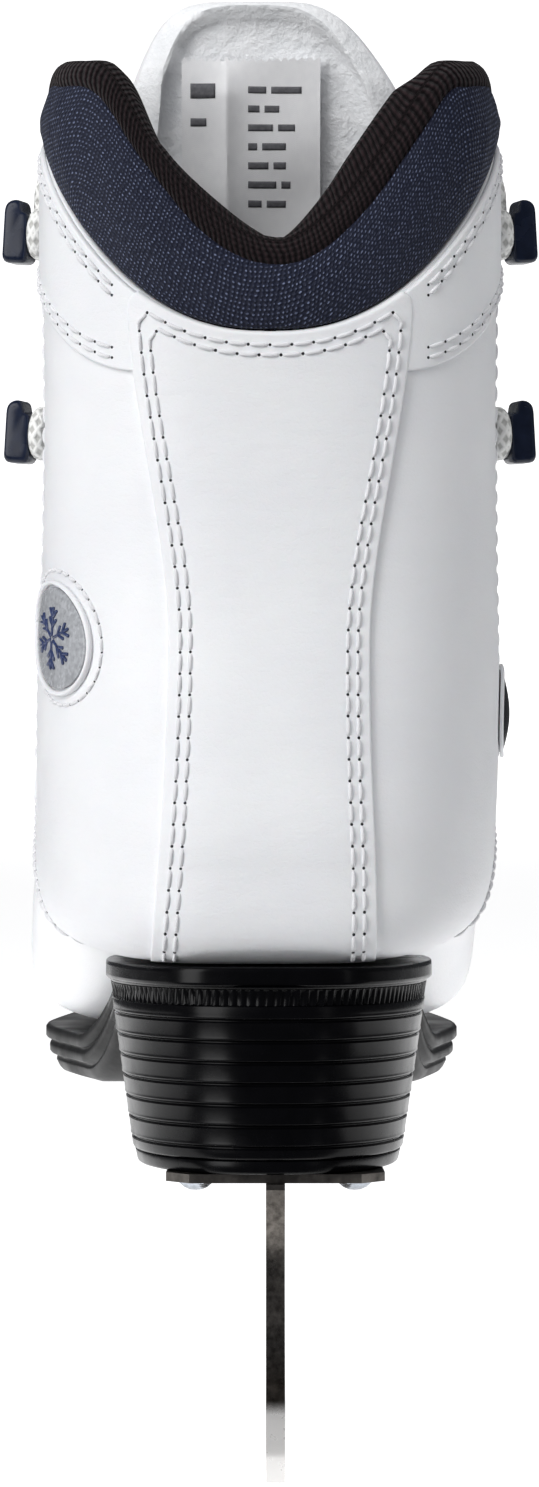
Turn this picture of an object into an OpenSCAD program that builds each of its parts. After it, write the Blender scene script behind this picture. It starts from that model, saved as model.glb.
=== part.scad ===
// Junior figure skate: laced ankle boot on a heeled sole with a screwed-on steel blade.
// Origin: the blade's lowest point on its mid-plane. +Y points to the toe, +Z up.

/* [Boot] */
// Length of the boot from heel to toe, mm
boot_l = 210; // [190:1:235]
// Width of the leg shaft, mm
shaft_w = 78.8; // [70:0.2:90]
// Width across the ball of the foot, mm
ball_w = 84.6; // [74:0.2:96]
// Thickness of the leather panels, mm
leather_t = 1.3; // [1.1:0.05:1.4]
// Number of eyelet pairs below the hooks
eyelet_rows = 4; // [3:1:4]

/* [Sole and heel] */
// Height of the heel seat above the ice, mm
seat_h = 87.6; // [84:0.1:92]
// Height of the forefoot sole's top edge above the ice, mm
tread_h = 71; // [69:0.1:75]
// Thickness of the forefoot sole, mm
sole_t = 9; // [7:0.1:10]
// Width of the heel block at its top, mm
heel_w = 55.4; // [50:0.1:60]
// Number of grooves round the heel
heel_grooves = 7; // [3:1:7]

/* [Blade] */
// Thickness of the runner, mm
blade_t = 3.2; // [2.8:0.1:4]
// Rocker radius of the ice edge, mm
rocker_r = 2000; // [1600:10:2600]
// Width of the heel plate, mm
plate_w = 37; // [34:0.5:42]

/* [Lace] */
// Width of the lace, mm
lace_w = 2.8; // [2.4:0.1:3]

/* [Hidden] */
kl = boot_l / 210;
kw = shaft_w / 78.8;
kb = ball_w / 84.6;
heel_y = -95 * kl;
sole_len = boot_l + 4;
plate_t = 1.5;
seat_bottom = seat_h - 3.2;
heel_bottom = seat_h - 34.9;
plate_z = heel_bottom - 1.6;
tread_bottom = tread_h - sole_t;
toe_plate_z = tread_bottom - 1.7;
hinge_s = 1.12;
hook_s = [1.63, 3.17];
hook_u = 109;
eye_s = [3.95, 4.6, 5.25, 5.9];
steel = [0.55, 0.54, 0.53];
white = [0.95, 0.95, 0.96];
black = [0.04, 0.04, 0.05];

// Stations down the shaft and along the foot: back or bottom point (y, z), front or
// top point (y, z), half width, centre x, skew, squareness at the back and at the front.
stations = [
    [-88 * kl, 250, -30 * kl, 256, 36.5 * kw, -0.9, 0, 0.8, 0.62],
    [-87 * kl, 225, -25 * kl, 232, 39 * kw, -0.9, 0, 0.8, 0.6],
    [-85 * kl, 200, -19 * kl, 209, 39.4 * kw, -0.9, 0, 0.8, 0.6],
    [-84 * kl, 175, -14 * kl, 187, 39.4 * kw, -0.9, 0, 0.8, 0.62],
    [-86 * kl, 150, -5 * kl, 167, 39.8 * kw, -1, 0, 0.8, 0.66],
    [-91 * kl, 125, 9 * kl, 151, 40.6 * kw, -1.2, 0, 0.78, 0.72],
    [-94.5 * kl, 105, 27 * kl, 137, 40.8 * kw, -1.4, -0.05, 0.68, 0.8],
    [-91 * kl, seat_h + 1.6, 46 * kl, 125, 41 * kw, -2, -0.16, 0.52, 0.85],
    [-60 * kl, seat_h + 0.9, 60 * kl, 118, 41.2 * kw, -2.8, -0.16, 0.5, 0.86],
    [-25 * kl, tread_h + 14.2, 74 * kl, 112, 42 * kb, -3.6, -0.06, 0.56, 0.86],
    [10 * kl, tread_h + 1.8, 88 * kl, 107, 42.3 * kb, -4.4, 0.02, 0.58, 0.86],
    [45 * kl, tread_h + 0.5, 99 * kl, 102, 41.3 * kb, -4.5, 0.03, 0.58, 0.88],
    [74 * kl, tread_h + 0.9, 106.5 * kl, 96, 37.5 * kb, -4.4, 0.02, 0.6, 0.9],
    [94 * kl, tread_h + 2.8, 111.5 * kl, 89.5, 28.5 * kb, -4.2, 0, 0.72, 0.95],
    [105 * kl, tread_h + 6, 114 * kl, 84, 16 * kb, -4.1, 0, 0.85, 1],
    [110.5 * kl, tread_h + 8.6, 114.6 * kl, 81.6, 4.5 * kb, -4.1, 0, 0.9, 1]
];

function sm(v) = let (t = max(0, min(1, v))) t * t * (3 - 2 * t);
function fold(u) = let (a = abs(u)) a > 180 ? 360 - a : a;
function at(i) = stations[max(0, min(len(stations) - 1, i))];
function blend4(a, b, c, d, t) =
    0.5 * (2 * b + (c - a) * t + (2 * a - 5 * b + 4 * c - d) * t * t + (3 * b - a - 3 * c + d) * t * t * t);
function station(s) =
    let (i = max(0, min(len(stations) - 2, floor(s))), t = s - i)
    blend4(at(i - 1), at(i), at(i + 1), at(i + 2), t);
function spow(v, e) = sign(v) * pow(abs(v), e);

// A point of the boot's surface: s runs from collar to toe, u from the back (0) round to
// the front (180), d is the depth under the surface.
function shell(s, u, d) =
    let (c = station(s), b = [c[0], c[1]], f = [c[2], c[3]], h = norm(b - f) / 2,
        m = (b + f) / 2, v = (b - f) / (2 * h), e = cos(u) > 0 ? c[7] : c[8],
        a = max(h - d, 0.3) * spow(cos(u), e),
        x = c[5] + max(c[4] - d, 0.3) * spow(sin(u), e) * (1 + c[6] * cos(u)))
    [x, m[0] + v[0] * a, m[1] + v[1] * a];

function outward(s, u) =
    let (a = shell(s, u - 2, 0), b = shell(s, u + 2, 0), c = shell(s - 0.1, u, 0), d = shell(s + 0.1, u, 0),
        n = cross(b - a, c - d))
    n / norm(n);

// A point at height h over the surface, along its normal.
function off(s, u, h) = shell(s, u, 0) + outward(s, u) * h;

// Edges of the panels, as s for a given u or u for a given s.
function quarter_top(u) = 2.2 - 1.3 * sm(fold(u) / 100);
function collar_top(u) =
    1.59 - 1.16 * pow(sm(abs(u - 1) / 54), 0.87) + 0.2 * sm((abs(u) - 78) / 20);
function roll_rise(u) =
    let (height = u < 0 ? 0.17 : 0.39, run = u < 0 ? 26 : 35,
        drop = u < 0 ? 0.35 : 0.51, start = u < 0 ? 2 : 14)
    max(-0.06, 0.02 + height * pow(min(1, abs(u) / run), 0.8)
        - drop * sm((abs(u) - start) / 36) - 0.08 * exp(-abs(u - 2) / 5));
function roll_swell(u) = 1 + 0.68 * sm(fold(u) / 60);
function quarter_low(u) = 7.95 - 1.75 * sm((fold(u) - 22) / 118);
function facing_low(u) = 2.45 - 0.55 * sm((fold(u) - 30) / 75) + 0.05;
function front_edge(s) = 122 + 5.6 * (s - 0.6);
function angle_at(s, x) = let (c = station(s)) asin(min(1, pow(x / (c[4] * (1 + c[6])), 1 / c[7])));
function stay_half(s) = s < 4.4 ? 24 - 7.2 * sm((s - 2.2) / 2.2) : 16.8 + 1.6 * sm((s - 4.4) / 2.6);

// A closed patch of the shell. Each grid point is [s, u], with an extra depth, a shift along
// X and a depth factor where it has them, and u grows along a row.
function patch_point(p, d) =
    shell(p[0], p[1], d * (len(p) > 4 ? p[4] : 1) + (len(p) > 2 ? p[2] : 0))
        + [len(p) > 3 ? p[3] : 0, 0, 0];

module patch(g, d0, d1) {
    n = len(g);
    m = len(g[0]);
    q = n * m;
    top = [for (r = g) for (p = r) patch_point(p, d0)];
    low = [for (r = g) for (p = r) patch_point(p, d1)];
    skin = [for (i = [0:n - 2]) for (j = [0:m - 2]) let (a = i * m + j)
        each [[a, a + 1, a + m + 1], [a, a + m + 1, a + m]]];
    back = [for (f = skin) [f[0] + q, f[2] + q, f[1] + q]];
    ends = [for (j = [0:m - 2]) let (a = j, b = (n - 1) * m + j)
        each [[a + 1, a, a + q], [a + 1, a + q, a + q + 1],
            [b, b + 1, b + q + 1], [b, b + q + 1, b + q]]];
    sides = [for (i = [0:n - 2]) let (a = i * m, b = i * m + m - 1)
        each [[a, a + m, a + m + q], [a, a + m + q, a + q],
            [b + m, b, b + q], [b + m, b + q, b + m + q]]];
    polyhedron(points = concat(top, low), faces = concat(skin, back, ends, sides), convexity = 6);
}

// A stack of closed rings with equal, even counts, capped across at both ends.
module stack(rings) {
    n = len(rings);
    m = len(rings[0]);
    pts = [for (r = rings) each r];
    side = [for (i = [0:n - 2]) for (j = [0:m - 1]) let (k = (j + 1) % m, a = i * m + j, b = i * m + k)
        each [[a, b, b + m], [a, b + m, a + m]]];
    half = m / 2 - 1;
    cap = [for (k = [0:half]) each concat(
        k < half ? [[k, k + 1, m - k - 1]] : [],
        k > 0 ? [[k, m - k - 1, m - k]] : [])];
    low = [for (f = cap) [f[0], f[2], f[1]]];
    high = [for (f = cap) f + (n - 1) * m * [1, 1, 1]];
    polyhedron(points = pts, faces = concat(side, low, high), convexity = 6);
}

// A tube along a path of points.
module tube(path, d, sides) {
    n = len(path);
    function way(i) = let (v = path[min(n - 1, i + 1)] - path[max(0, i - 1)]) v / norm(v);
    function frame(i, last) =
        let (t = way(i), v = last - t * (last * t), w = v / norm(v))
        i == n - 1 ? [w] : concat([w], frame(i + 1, w));
    w0 = abs(way(0)[2]) < 0.8 ? [0, 0, 1] : [1, 0, 0];
    ws = frame(0, w0);
    stack([for (i = [0:n - 1]) let (t = way(i), w = ws[i], b = cross(t, w))
        [for (k = [0:sides - 1]) path[i] + d / 2 * (cos(360 * k / sides) * w - sin(360 * k / sides) * b)]]);
}

function smooth_path(p, n) =
    [for (i = [0:len(p) - 2]) for (k = [0:n - 1])
        blend4(p[max(0, i - 1)], p[i], p[i + 1], p[min(len(p) - 1, i + 2)], k / n), p[len(p) - 1]];

module on_shell(s, u, h) {
    n = outward(s, u);
    translate(off(s, u, h))
        rotate([0, 0, atan2(n[1], n[0])])
            rotate([0, 90 - asin(n[2]), 0])
                children();
}

module quarter(side) {
    patch([for (i = [0:17]) [for (j = [0:15])
        let (k = side > 0 ? j : 15 - j, u = 0.6 + 96.4 * k / 15,
            s0 = quarter_top(u) + 0.02, s1 = quarter_low(u))
        [s0 + (s1 - s0) * i / 17, side * u]]], 0, leather_t);
}

module quarter_left() color(white) quarter(-1);
module quarter_right() color(white) quarter(1);

// The eyestay carries the hooks and eyelets along the front edge of each quarter.
module eyestay(side) {
    difference() {
        patch([for (i = [0:15]) [for (j = [0:6])
            let (k = side > 0 ? j : 6 - j, v = i / 15, sa = 0.92 + (quarter_low(105) - 0.92) * v,
                ue = front_edge(sa), u = 97.8 + (ue - 97.8) * k / 6,
                s1 = quarter_low(u), s = 0.92 + (s1 - 0.92) * v)
            [s, side * u]]], -0.3, leather_t + 0.4);
        for (i = [4 - eyelet_rows:3])
            on_shell(eye_s[i], side * eye_u(i), -10)
                cylinder(h = 20, d = 5.4, $fn = 24);
    }
}

function eye_u(i) = front_edge(eye_s[i]) - 10;

module eyestay_left() color(white) eyestay(-1);
module eyestay_right() color(white) eyestay(1);

module collar_facing(side) {
    patch([for (i = [0:4]) [for (j = [0:12])
        let (k = side > 0 ? j : 12 - j, u = 36 + (96.6 - 36) * k / 12,
            s0 = quarter_top(u) + 0.04, s1 = facing_low(u))
        [s0 + (s1 - s0) * i / 4, side * u]]], -0.95, -0.12);
}

module collar_facing_left() color(white) collar_facing(-1);
module collar_facing_right() color(white) collar_facing(1);

module backstay() color(white)
    patch([for (i = [0:20]) let (s = 2.24 + 4.9 * i / 20, a = angle_at(s, stay_half(s)))
        [for (j = [0:8]) let (u = a * (j - 4) / 4)
            [s - (2.2 - quarter_top(u)) * (1 - i / 20), u]]], -1.2, -0.12);

module vamp() color(white)
    patch([for (i = [0:17]) [for (j = [0:28])
        let (u = 14 + 332 * j / 28, s0 = quarter_low(u) + 0.04, s = s0 + (14.96 - s0) * i / 17)
        [s, u]]], 0.1, leather_t + 0.1);

module heel_counter() color([0.75, 0.68, 0.55])
    patch([for (i = [0:8]) [for (j = [0:20]) [5.1 + 1.9 * i / 8, -72 + 144 * j / 20]]],
        leather_t + 0.45, 3.05);

module toe_puff() color([0.75, 0.68, 0.55])
    patch([for (i = [0:7]) [for (j = [0:18]) [11.4 + 2.9 * i / 7, 46 + 268 * j / 18]]],
        leather_t + 0.5, 3);

module collar_pad() color([0.08, 0.09, 0.19])
    patch([for (i = [0:5]) [for (j = [0:36])
        let (u = -120 + 240 * j / 36, s0 = collar_top(u) + 0.2, s1 = quarter_top(u) - 0.03)
        [s0 + (s1 - s0) * i / 5, u, -1.1 * sin(180 * i / 5)]]], 0, 3.1);

// The ribbed lining is rolled over the collar as a soft lip.
module collar_roll() color([0.12, 0.09, 0.1])
    patch([for (i = [0:3]) [for (j = [0:36])
        let (u = -119 + 238 * j / 36, s1 = collar_top(u) + 0.17, s0 = s1 - 0.17 - roll_rise(u))
        [s0 + (s1 - s0) * i / 3, u, (3 - i) * roll_rise(u) * 3 + (i == 0 ? 0.5 : 0),
                0, roll_swell(u)]]], 0.5, 5.2);

module shaft_lining() color([0.12, 0.09, 0.1])
    patch([for (i = [0:17]) [for (j = [0:24])
        let (u = -119 + 238 * j / 24, s0 = collar_top(u) + 0.19)
        [s0 + (7.05 - s0) * i / 17, u]]], 3.4, 5);

module foot_lining() color([0.9, 0.9, 0.88])
    patch([for (i = [0:10]) [for (j = [0:22]) [7.1 + 6.7 * i / 10, 45 + 270 * j / 22]]], 3.4, 4.8);

module tongue_lower() color([0.93, 0.93, 0.94])
    patch([for (i = [0:17]) [for (j = [0:8])
        let (s = hinge_s + 0.035 + (7.5 - hinge_s) * i / 17, w = 45 - 1.3 * i)
        [s, 180 + w * (j - 4) / 4]]], 5.6, 9);

module tongue_upper() color([0.93, 0.93, 0.94])
    patch([for (i = [0:7]) [for (j = [0:12])
        let (v = (j - 6) / 6, s0 = -0.18 + 0.8 * v * v, s = s0 + (hinge_s - s0) * i / 7,
            w = 31 + 14 * i / 7)
        [s, 180 + w * v, 0, -3 * sm((hinge_s - s) / 1.2)]]], 5.6, 9);

// The care label is folded and stitched to the tongue's inner side.
module tongue_label() color([0.97, 0.97, 0.97])
    patch([for (i = [0:5]) [for (j = [0:4])
        let (s = 0.35 + 0.7 * i / 5)
        [s, 180 + 11 * (j - 2) / 2, 0, -3 * sm((hinge_s - s) / 1.2)]]], 9.15, 9.5);

module badge(side, sc, uc, du) {
    patch([for (i = [0:10]) [for (j = [0:10])
        let (p = (i - 5) / 5, q = (j - 5) / 5)
        [sc + 0.36 * p * sqrt(1 - q * q / 2), side * uc + du * q * sqrt(1 - p * p / 2)]]], -0.8, -0.12);
}

module badge_rim(side, sc, uc, du) {
    patch([for (i = [0:2]) [for (j = [0:28])
        let (r = 1.05 + 0.1 * i, t = -356 * j / 28)
        [sc + 0.36 * r * cos(t), side * uc + du * r * sin(t)]]], -1.3, -0.12);
}

module badge_left() color([0.65, 0.66, 0.68]) badge(-1, 4.45, 61.5, 16);
module badge_right() color([0.65, 0.66, 0.68]) badge(1, 5.33, 87, 7);
module badge_rim_left() color(white) badge_rim(-1, 4.45, 61.5, 16);
module badge_rim_right() color(white) badge_rim(1, 5.33, 87, 7);

// A lace hook: riveted foot, metal neck and a moulded head notched at the top.
module hook_body(side, s) on_shell(s, side * hook_u, 0.5)
    difference() {
        union() {
            cylinder(h = 0.7, d = 7.6, $fn = 40);
            cylinder(h = 5, d = 3.4, $fn = 32);
            translate([-5.6, -3.4, 3.95])
                cube([11.2, 6.8, 4.35]);
        }
        translate([-6.6, -5, 3])
            cube([3.2, 10, 2.1]);
        translate([-7, -5, 7.5])
            rotate([0, 40, 0])
                cube([3, 10, 3]);
    }

module hook_upper_left() color(black) hook_body(-1, hook_s[0]);
module hook_upper_right() color(black) hook_body(1, hook_s[0]);
module hook_lower_left() color(black) hook_body(-1, hook_s[1]);
module hook_lower_right() color(black) hook_body(1, hook_s[1]);

module eyelet_ring(side, i) on_shell(eye_s[i], side * eye_u(i), 0.75)
    rotate_extrude($fn = 36)
        translate([1.95, 0])
            polygon([[0, 0.75], [1.7, 0.75], [2, 0.3], [2, 0], [0.5, 0], [0.5, -2.4], [0, -2.4]]);

module eyelets_left() color([0.85, 0.85, 0.86])
    for (i = [4 - eyelet_rows:3])
        eyelet_ring(-1, i);

module eyelets_right() color([0.85, 0.85, 0.86])
    for (i = [4 - eyelet_rows:3])
        eyelet_ring(1, i);

// Route of one half of the lace, from the throat to the knot. It comes up through each
// eyelet, crosses over the tongue and goes under the far eyestay, then round both hooks.
function beside(s, u, up, fwd, h) =
    let (n = outward(s, u), e = cross([0, 0, 1], n),
        w = e / norm(e) * (u < 0 ? -1 : 1), v = cross(n, e / norm(e)))
    off(s, u, h) + fwd * w + up * v;
function eye(side, i, h) = off(eye_s[i], side * eye_u(i), h);
function through(side, i) = [for (h = [-4.05, -2.3, 1.2, 3.2]) eye(side, i, h)];
function under_edge(side, i) = [shell(eye_s[i] + 0.16, side * (front_edge(eye_s[i] + 0.16) + 6), 3.9)];
function over_edge(side, i) = [shell(eye_s[i] - 0.16, side * (front_edge(eye_s[i]) + 4), -2.7)];
function climb(side, i, high) = concat(through(side, i), over_edge(side, i),
    [shell(eye_s[i] - 0.32, 180, high ? -1.9 : 1.5)],
    i > 4 - eyelet_rows ? concat(under_edge(-side, i - 1), climb(-side, i - 1, high)) : []);
function round_hook(side, s) = [beside(s, side * hook_u, -3, 5, 2.9), beside(s, side * hook_u, -3.4, 0, 2.9),
    beside(s, side * hook_u, -2.4, -2.4, 2.9), beside(s, side * hook_u, 0, -3.4, 2.9),
    beside(s, side * hook_u, 2.4, -2.4, 2.9), beside(s, side * hook_u, 3.4, 0, 2.9),
    beside(s, side * hook_u, 3, 5, 2.9)];
function edge_way(side, s, k) = shell(s, side * (hook_u + (front_edge(s) + 3 - hook_u) * k), -3);
function lace_route(side, high) =
    let (last = eyelet_rows % 2 == 1 ? side : -side, s0 = hook_s[1], s1 = hook_s[0])
    concat(climb(side, 3, high),
        [edge_way(-last, s0 + 0.13, 1), edge_way(-last, s0 + 0.13, 0.6)],
        round_hook(-last, s0),
        [edge_way(-last, s0 - 0.13, 0.6), edge_way(-last, s0 - 0.13, 1)],
        [shell(2.45, 180, high ? -3.4 : 0.4)],
        [edge_way(last, s1 + 0.13, 1), edge_way(last, s1 + 0.13, 0.6)],
        [for (k = [0:5]) round_hook(last, s1)[k]],
        [shell(1.3, last * 111, -2.7), shell(1.15, last * 121, -3.2), shell(1.22, last * 135, -3.6),
            shell(1.36, last * 152, -4.2), shell(1.52, last * 168, -4.8), shell(1.6, last * 177, -5)]);
bar = [for (k = [1:5]) shell(6.02, eye_u(3) + (360 - 2 * eye_u(3)) * k / 6, 3.95)];
function reversed(p) = [for (i = [len(p) - 1:-1:0]) p[i]];

// One lace in one piece, from one side of the knot down to the throat and back.
module lace() color(white)
    tube(smooth_path(concat(reversed(lace_route(1, true)), bar, lace_route(-1, false)), 2), lace_w, 8);

module lace_knot() color(white) {
    p = shell(1.62, 180, -5.4);
    translate(p)
        rotate_extrude($fn = 24)
            polygon([[0, -3.6], [2.6, -3.2], [4.2, -1.8], [4.8, 0], [4.2, 1.8], [2.6, 3.2], [0, 3.6]]);
}

function loop_route(side) = [for (p = [[1.56, 176, 9], [1.66, 171, 9.8], [2, 162, 10], [2.35, 152, 9.4],
    [2.75, 145, 8.6], [3.05, 145, 8], [3.1, 152, 7.8], [2.8, 160, 7.8], [2.35, 168, 8], [1.84, 175.6, 8.4]])
    shell(p[0], side * p[1], -p[2])];
function tail_route(side) = [for (p = [[1.92, 178.6, 8.6], [2.5, 177.6, 8], [3.1, 175, 8.4], [3.8, 167, 8.4],
    [4.5, 162, 8.4], [5.2, 163, 8], [5.9, 168, 8], [6.6, 170, 6], [7.4, 165, 4], [8.1, 154, 3.4]])
    shell(p[0], side * p[1], -p[2])];

// The bow's loops and tails hang down over the crossings.
module lace_loops() color(white) {
    tube(smooth_path(loop_route(-1), 2), lace_w, 8);
    tube(smooth_path(loop_route(1), 2), lace_w, 8);
}

module lace_tails() color(white) {
    tube(smooth_path(tail_route(-1), 2), lace_w, 8);
    tube(smooth_path(tail_route(1), 2), lace_w, 8);
}

module aglets() color([0.9, 0.9, 0.92])
    for (side = [-1, 1])
        tube([for (k = [1:2]) tail_end(side) + tail_way(side) * (k == 1 ? 0.3 : 15)], 2.6, 10);

function tail_end(side) = tail_route(side)[9];
function tail_way(side) = let (r = tail_route(side), v = r[9] - r[8]) v / norm(v);

// Plan of the sole, heel to toe, as half width and centre at fractions of its length.
sole_half = [33, 32.8, 28, 34, 41, 41, 31];
sole_mid = [-1.1, -1.1, -1.5, -3.2, -4.5, -4.6, -4.2];
function along(list, v) =
    let (n = len(list) - 1, i = min(n - 1, floor(v * n)), t = v * n - i)
    blend4(list[max(0, i - 1)], list[i], list[i + 1], list[min(n, i + 2)], t);
function drop(y) = 1 - sm((y / kl + 40) / 52);
function sole_top(y) =
    tread_h + (seat_h - tread_h) * drop(y) + 4.5 * pow(max(0, (y / kl - 62) / 55), 2);
function sole_low(y) =
    tread_h - sole_t + (seat_bottom - tread_h + sole_t) * drop(y) + 7 * pow(max(0, (y / kl - 62) / 55), 2);
function sole_ring(inset, h) =
    [for (k = [0:55]) let (t = 360 * k / 56, v = (1 - cos(t)) / 2, w = (along(sole_half, v) * kb - inset),
        y = heel_y + inset + v * (sole_len - 2 * inset))
        [along(sole_mid, v) + w * spow(sin(t), 0.5), y, sole_top(y) + (sole_low(y) - sole_top(y)) * h]];

module outsole() color([0.16, 0.16, 0.17]) difference() {
    stack([sole_ring(1.2, 0), sole_ring(0.2, 0.08), sole_ring(0.2, 0.26), sole_ring(1.4, 0.32),
        sole_ring(1.4, 0.38), sole_ring(1, 0.42), sole_ring(1.2, 0.58), sole_ring(2.6, 0.64),
        sole_ring(2.6, 0.7), sole_ring(2.4, 0.75), sole_ring(3.4, 0.92), sole_ring(5, 1)]);
    screw_bores(sole_holes, toe_plate_z, 8);
}

module lasting_board() color([0.7, 0.55, 0.4])
    patch([for (i = [0:16]) [for (j = [0:8]) [7.12 + 6.9 * i / 16, -42 + 84 * j / 8]]], 2.5, 5.4);

module insole() color([0.9, 0.9, 0.9])
    patch([for (i = [0:16]) [for (j = [0:8]) [7.2 + 5.6 * i / 16, -40 + 80 * j / 8]]], 6.3, 11);

// Heel block in rings, tapering to the ground, with turned grooves.
function heel_ring(z, inset) =
    let (f = (seat_bottom - z) / (seat_bottom - heel_bottom), w = heel_w / 2 - 4.6 * f - inset)
    [for (k = [0:35]) let (t = -360 * k / 36, c = cos(t), e = c < 0 ? 0.92 : 0.35)
        [-1.15 - 0.15 * f + w * spow(sin(t), c < 0 ? 0.85 : 0.35),
            -53 * kl + (c < 0 ? 42 * kl - 4 * f - inset : 15 * kl - 5 * f - inset) * spow(c, e), z]];

groove_z = [for (i = [0:heel_grooves - 1]) seat_h - 8.9 - 3.57 * i];
heel_steps = concat(
    [[heel_bottom + 2.5, 0]],
    [for (i = [heel_grooves - 1:-1:0]) if (groove_z[i] > heel_bottom + 3.4)
        each [[groove_z[i] - 0.55, 0], [groove_z[i] - 0.3, 0.55],
            [groove_z[i] + 0.2, 0.55], [groove_z[i] + 0.5, 0]]],
    [[seat_bottom - 3.4, 0], [seat_bottom - 3.2, 0.3], [seat_bottom - 0.9, 0.3], [seat_bottom - 0.5, 0]]);

module heel() color(black) difference() {
    stack([for (s = heel_steps) heel_ring(s[0], s[1])]);
    screw_bores(heel_holes, plate_z, 15);
}

module heel_lift() color(black) difference() {
    stack([for (s = [[0, 0.9], [0.4, 0.4], [2.3, 0.3]]) heel_ring(heel_bottom + s[0], s[1])]);
    screw_bores(heel_holes, plate_z, 15);
}

module screw_bores(holes, z, depth)
    for (h = holes)
        translate([h[0], h[1] * kl, z])
            cylinder(h = depth, d = 3.5, $fn = 24);

// Runner profile in the blade's plane: ice edge with rocker, toe pick and two stanchions.
function ice(y) = rocker_r - sqrt(rocker_r * rocker_r - pow(y + 5, 2));
runner_low = [for (y = [-98:7:98]) [y * kl, ice(y)]];
runner_pick = [[101, 3.6], [100.5, 5.8], [104, 5.4], [103.6, 8.4], [107, 8.2], [106.2, 11.6], [108.6, 12.6],
    [108, 16.5], [105.5, 20], [101, 22]];
runner_high = concat(
    smooth_path([[101, 22], [92, 22], [82, 26], [77, 36], [76, 47], [79, 55], [82, 59]], 3),
    [[82, 60.2], [6, 60.2]],
    smooth_path([[6, 59], [9, 55], [13, 47], [14, 38], [10, 28], [2, 22.5], [-15, 20.5], [-31, 22.5],
        [-41, 28], [-46, 36], [-45, 43], [-41, 47.5], [-39, 50.2]], 3),
    [[-39, 50.6], [-91, 50.6]],
    smooth_path([[-91, 50.2], [-88, 47.5], [-84, 42], [-82, 34],
        [-84, 26], [-90, 19], [-97, 14], [-100, 9]], 3),
    [[-100, 6]]);
function lift(p) = p[1] > 59 ? toe_plate_z : p[1] > 50.55 ? plate_z : p[1];

module runner() color(steel)
    translate([-blade_t / 2, 0, 0])
        rotate([90, 0, 90])
            difference() {
                linear_extrude(height = blade_t)
                    polygon(concat(runner_low, [for (p = runner_pick) [p[0] * kl, p[1]]],
                        [for (p = runner_high) [p[0] * kl, lift(p)]]));
                translate([46 * kl, 38, -1])
                    cylinder(h = blade_t + 2, d = 17, $fn = 48);
                translate([-64 * kl, 35, -1])
                    cylinder(h = blade_t + 2, d = 11, $fn = 48);
            }

heel_holes = [[-13.5, -78], [13.5, -78], [-12.5, -50], [12.5, -50]];
sole_holes = [[-17, 18], [14, 18], [-20, 44], [15, 44], [-17, 70], [12, 70]];

module plate(y0, y1, w0, w1, xc, z) {
    translate([xc, 0, z])
        linear_extrude(height = plate_t)
            polygon([[-w0 / 2 + 4, y0], [w0 / 2 - 4, y0], [w0 / 2, y0 + 5],
                [w1 / 2, y1 - 6], [w1 / 2 - 6, y1],
                [6 - w1 / 2, y1], [-w1 / 2, y1 - 6], [-w0 / 2, y0 + 5]]);
}

module heel_plate() color(steel)
    difference() {
        plate(-88 * kl, -42 * kl, plate_w, plate_w - 1, 0, plate_z + 0.02);
        for (h = heel_holes)
            translate([h[0], h[1] * kl, plate_z - 1])
                cylinder(h = 4, d = 3.6, $fn = 24);
    }

module sole_plate() color(steel)
    difference() {
        plate(8 * kl, 80 * kl, 44, 40, -2, toe_plate_z + 0.02);
        for (h = sole_holes)
            translate([h[0], h[1] * kl, toe_plate_z - 1])
                cylinder(h = 4, d = 3.6, $fn = 24);
    }

module screw(x, y, z, n) {
    translate([x, y, z])
        rotate_extrude($fn = 32)
            polygon([[0, -1.9], [1.1, -1.8], [2.1, -1.35], [2.8, -0.7], [3, -0.05],
                [1.7, -0.05], [1.7, n], [0, n + 1.4]]);
}

module heel_screws() color([0.75, 0.75, 0.76])
    for (h = heel_holes)
        screw(h[0], h[1] * kl, plate_z, 13);

module sole_screws() color([0.75, 0.75, 0.76])
    for (h = sole_holes)
        screw(h[0], h[1] * kl, toe_plate_z, 6);

vamp();
quarter_left();
quarter_right();
eyestay_left();
eyestay_right();
collar_facing_left();
collar_facing_right();
backstay();
collar_pad();
shaft_lining();
foot_lining();
heel_counter();
toe_puff();
tongue_lower();
tongue_upper();
tongue_label();
badge_left();
badge_right();
badge_rim_left();
badge_rim_right();
hook_upper_left();
hook_upper_right();
hook_lower_left();
hook_lower_right();
eyelets_left();
eyelets_right();
collar_roll();
lace();
lace_knot();
lace_loops();
lace_tails();
aglets();
insole();
lasting_board();
outsole();
heel();
heel_lift();
runner();
heel_plate();
sole_plate();
heel_screws();
sole_screws();
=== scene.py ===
import bpy, bmesh, math
import numpy as np
from mathutils import Vector, Matrix


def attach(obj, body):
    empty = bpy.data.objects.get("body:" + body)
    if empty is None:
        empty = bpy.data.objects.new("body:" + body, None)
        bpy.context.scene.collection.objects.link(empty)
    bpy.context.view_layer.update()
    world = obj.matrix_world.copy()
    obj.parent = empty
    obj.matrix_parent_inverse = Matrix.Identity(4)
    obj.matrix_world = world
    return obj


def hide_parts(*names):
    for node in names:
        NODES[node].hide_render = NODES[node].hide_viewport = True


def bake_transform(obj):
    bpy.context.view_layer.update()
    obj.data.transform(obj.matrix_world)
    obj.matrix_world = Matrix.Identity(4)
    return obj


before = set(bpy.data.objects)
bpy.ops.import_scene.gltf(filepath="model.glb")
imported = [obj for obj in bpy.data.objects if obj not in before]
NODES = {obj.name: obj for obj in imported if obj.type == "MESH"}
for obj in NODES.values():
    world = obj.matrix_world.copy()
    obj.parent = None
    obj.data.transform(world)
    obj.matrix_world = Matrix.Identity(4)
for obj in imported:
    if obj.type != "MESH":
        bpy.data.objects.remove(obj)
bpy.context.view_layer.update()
scene = bpy.context.scene

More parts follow.
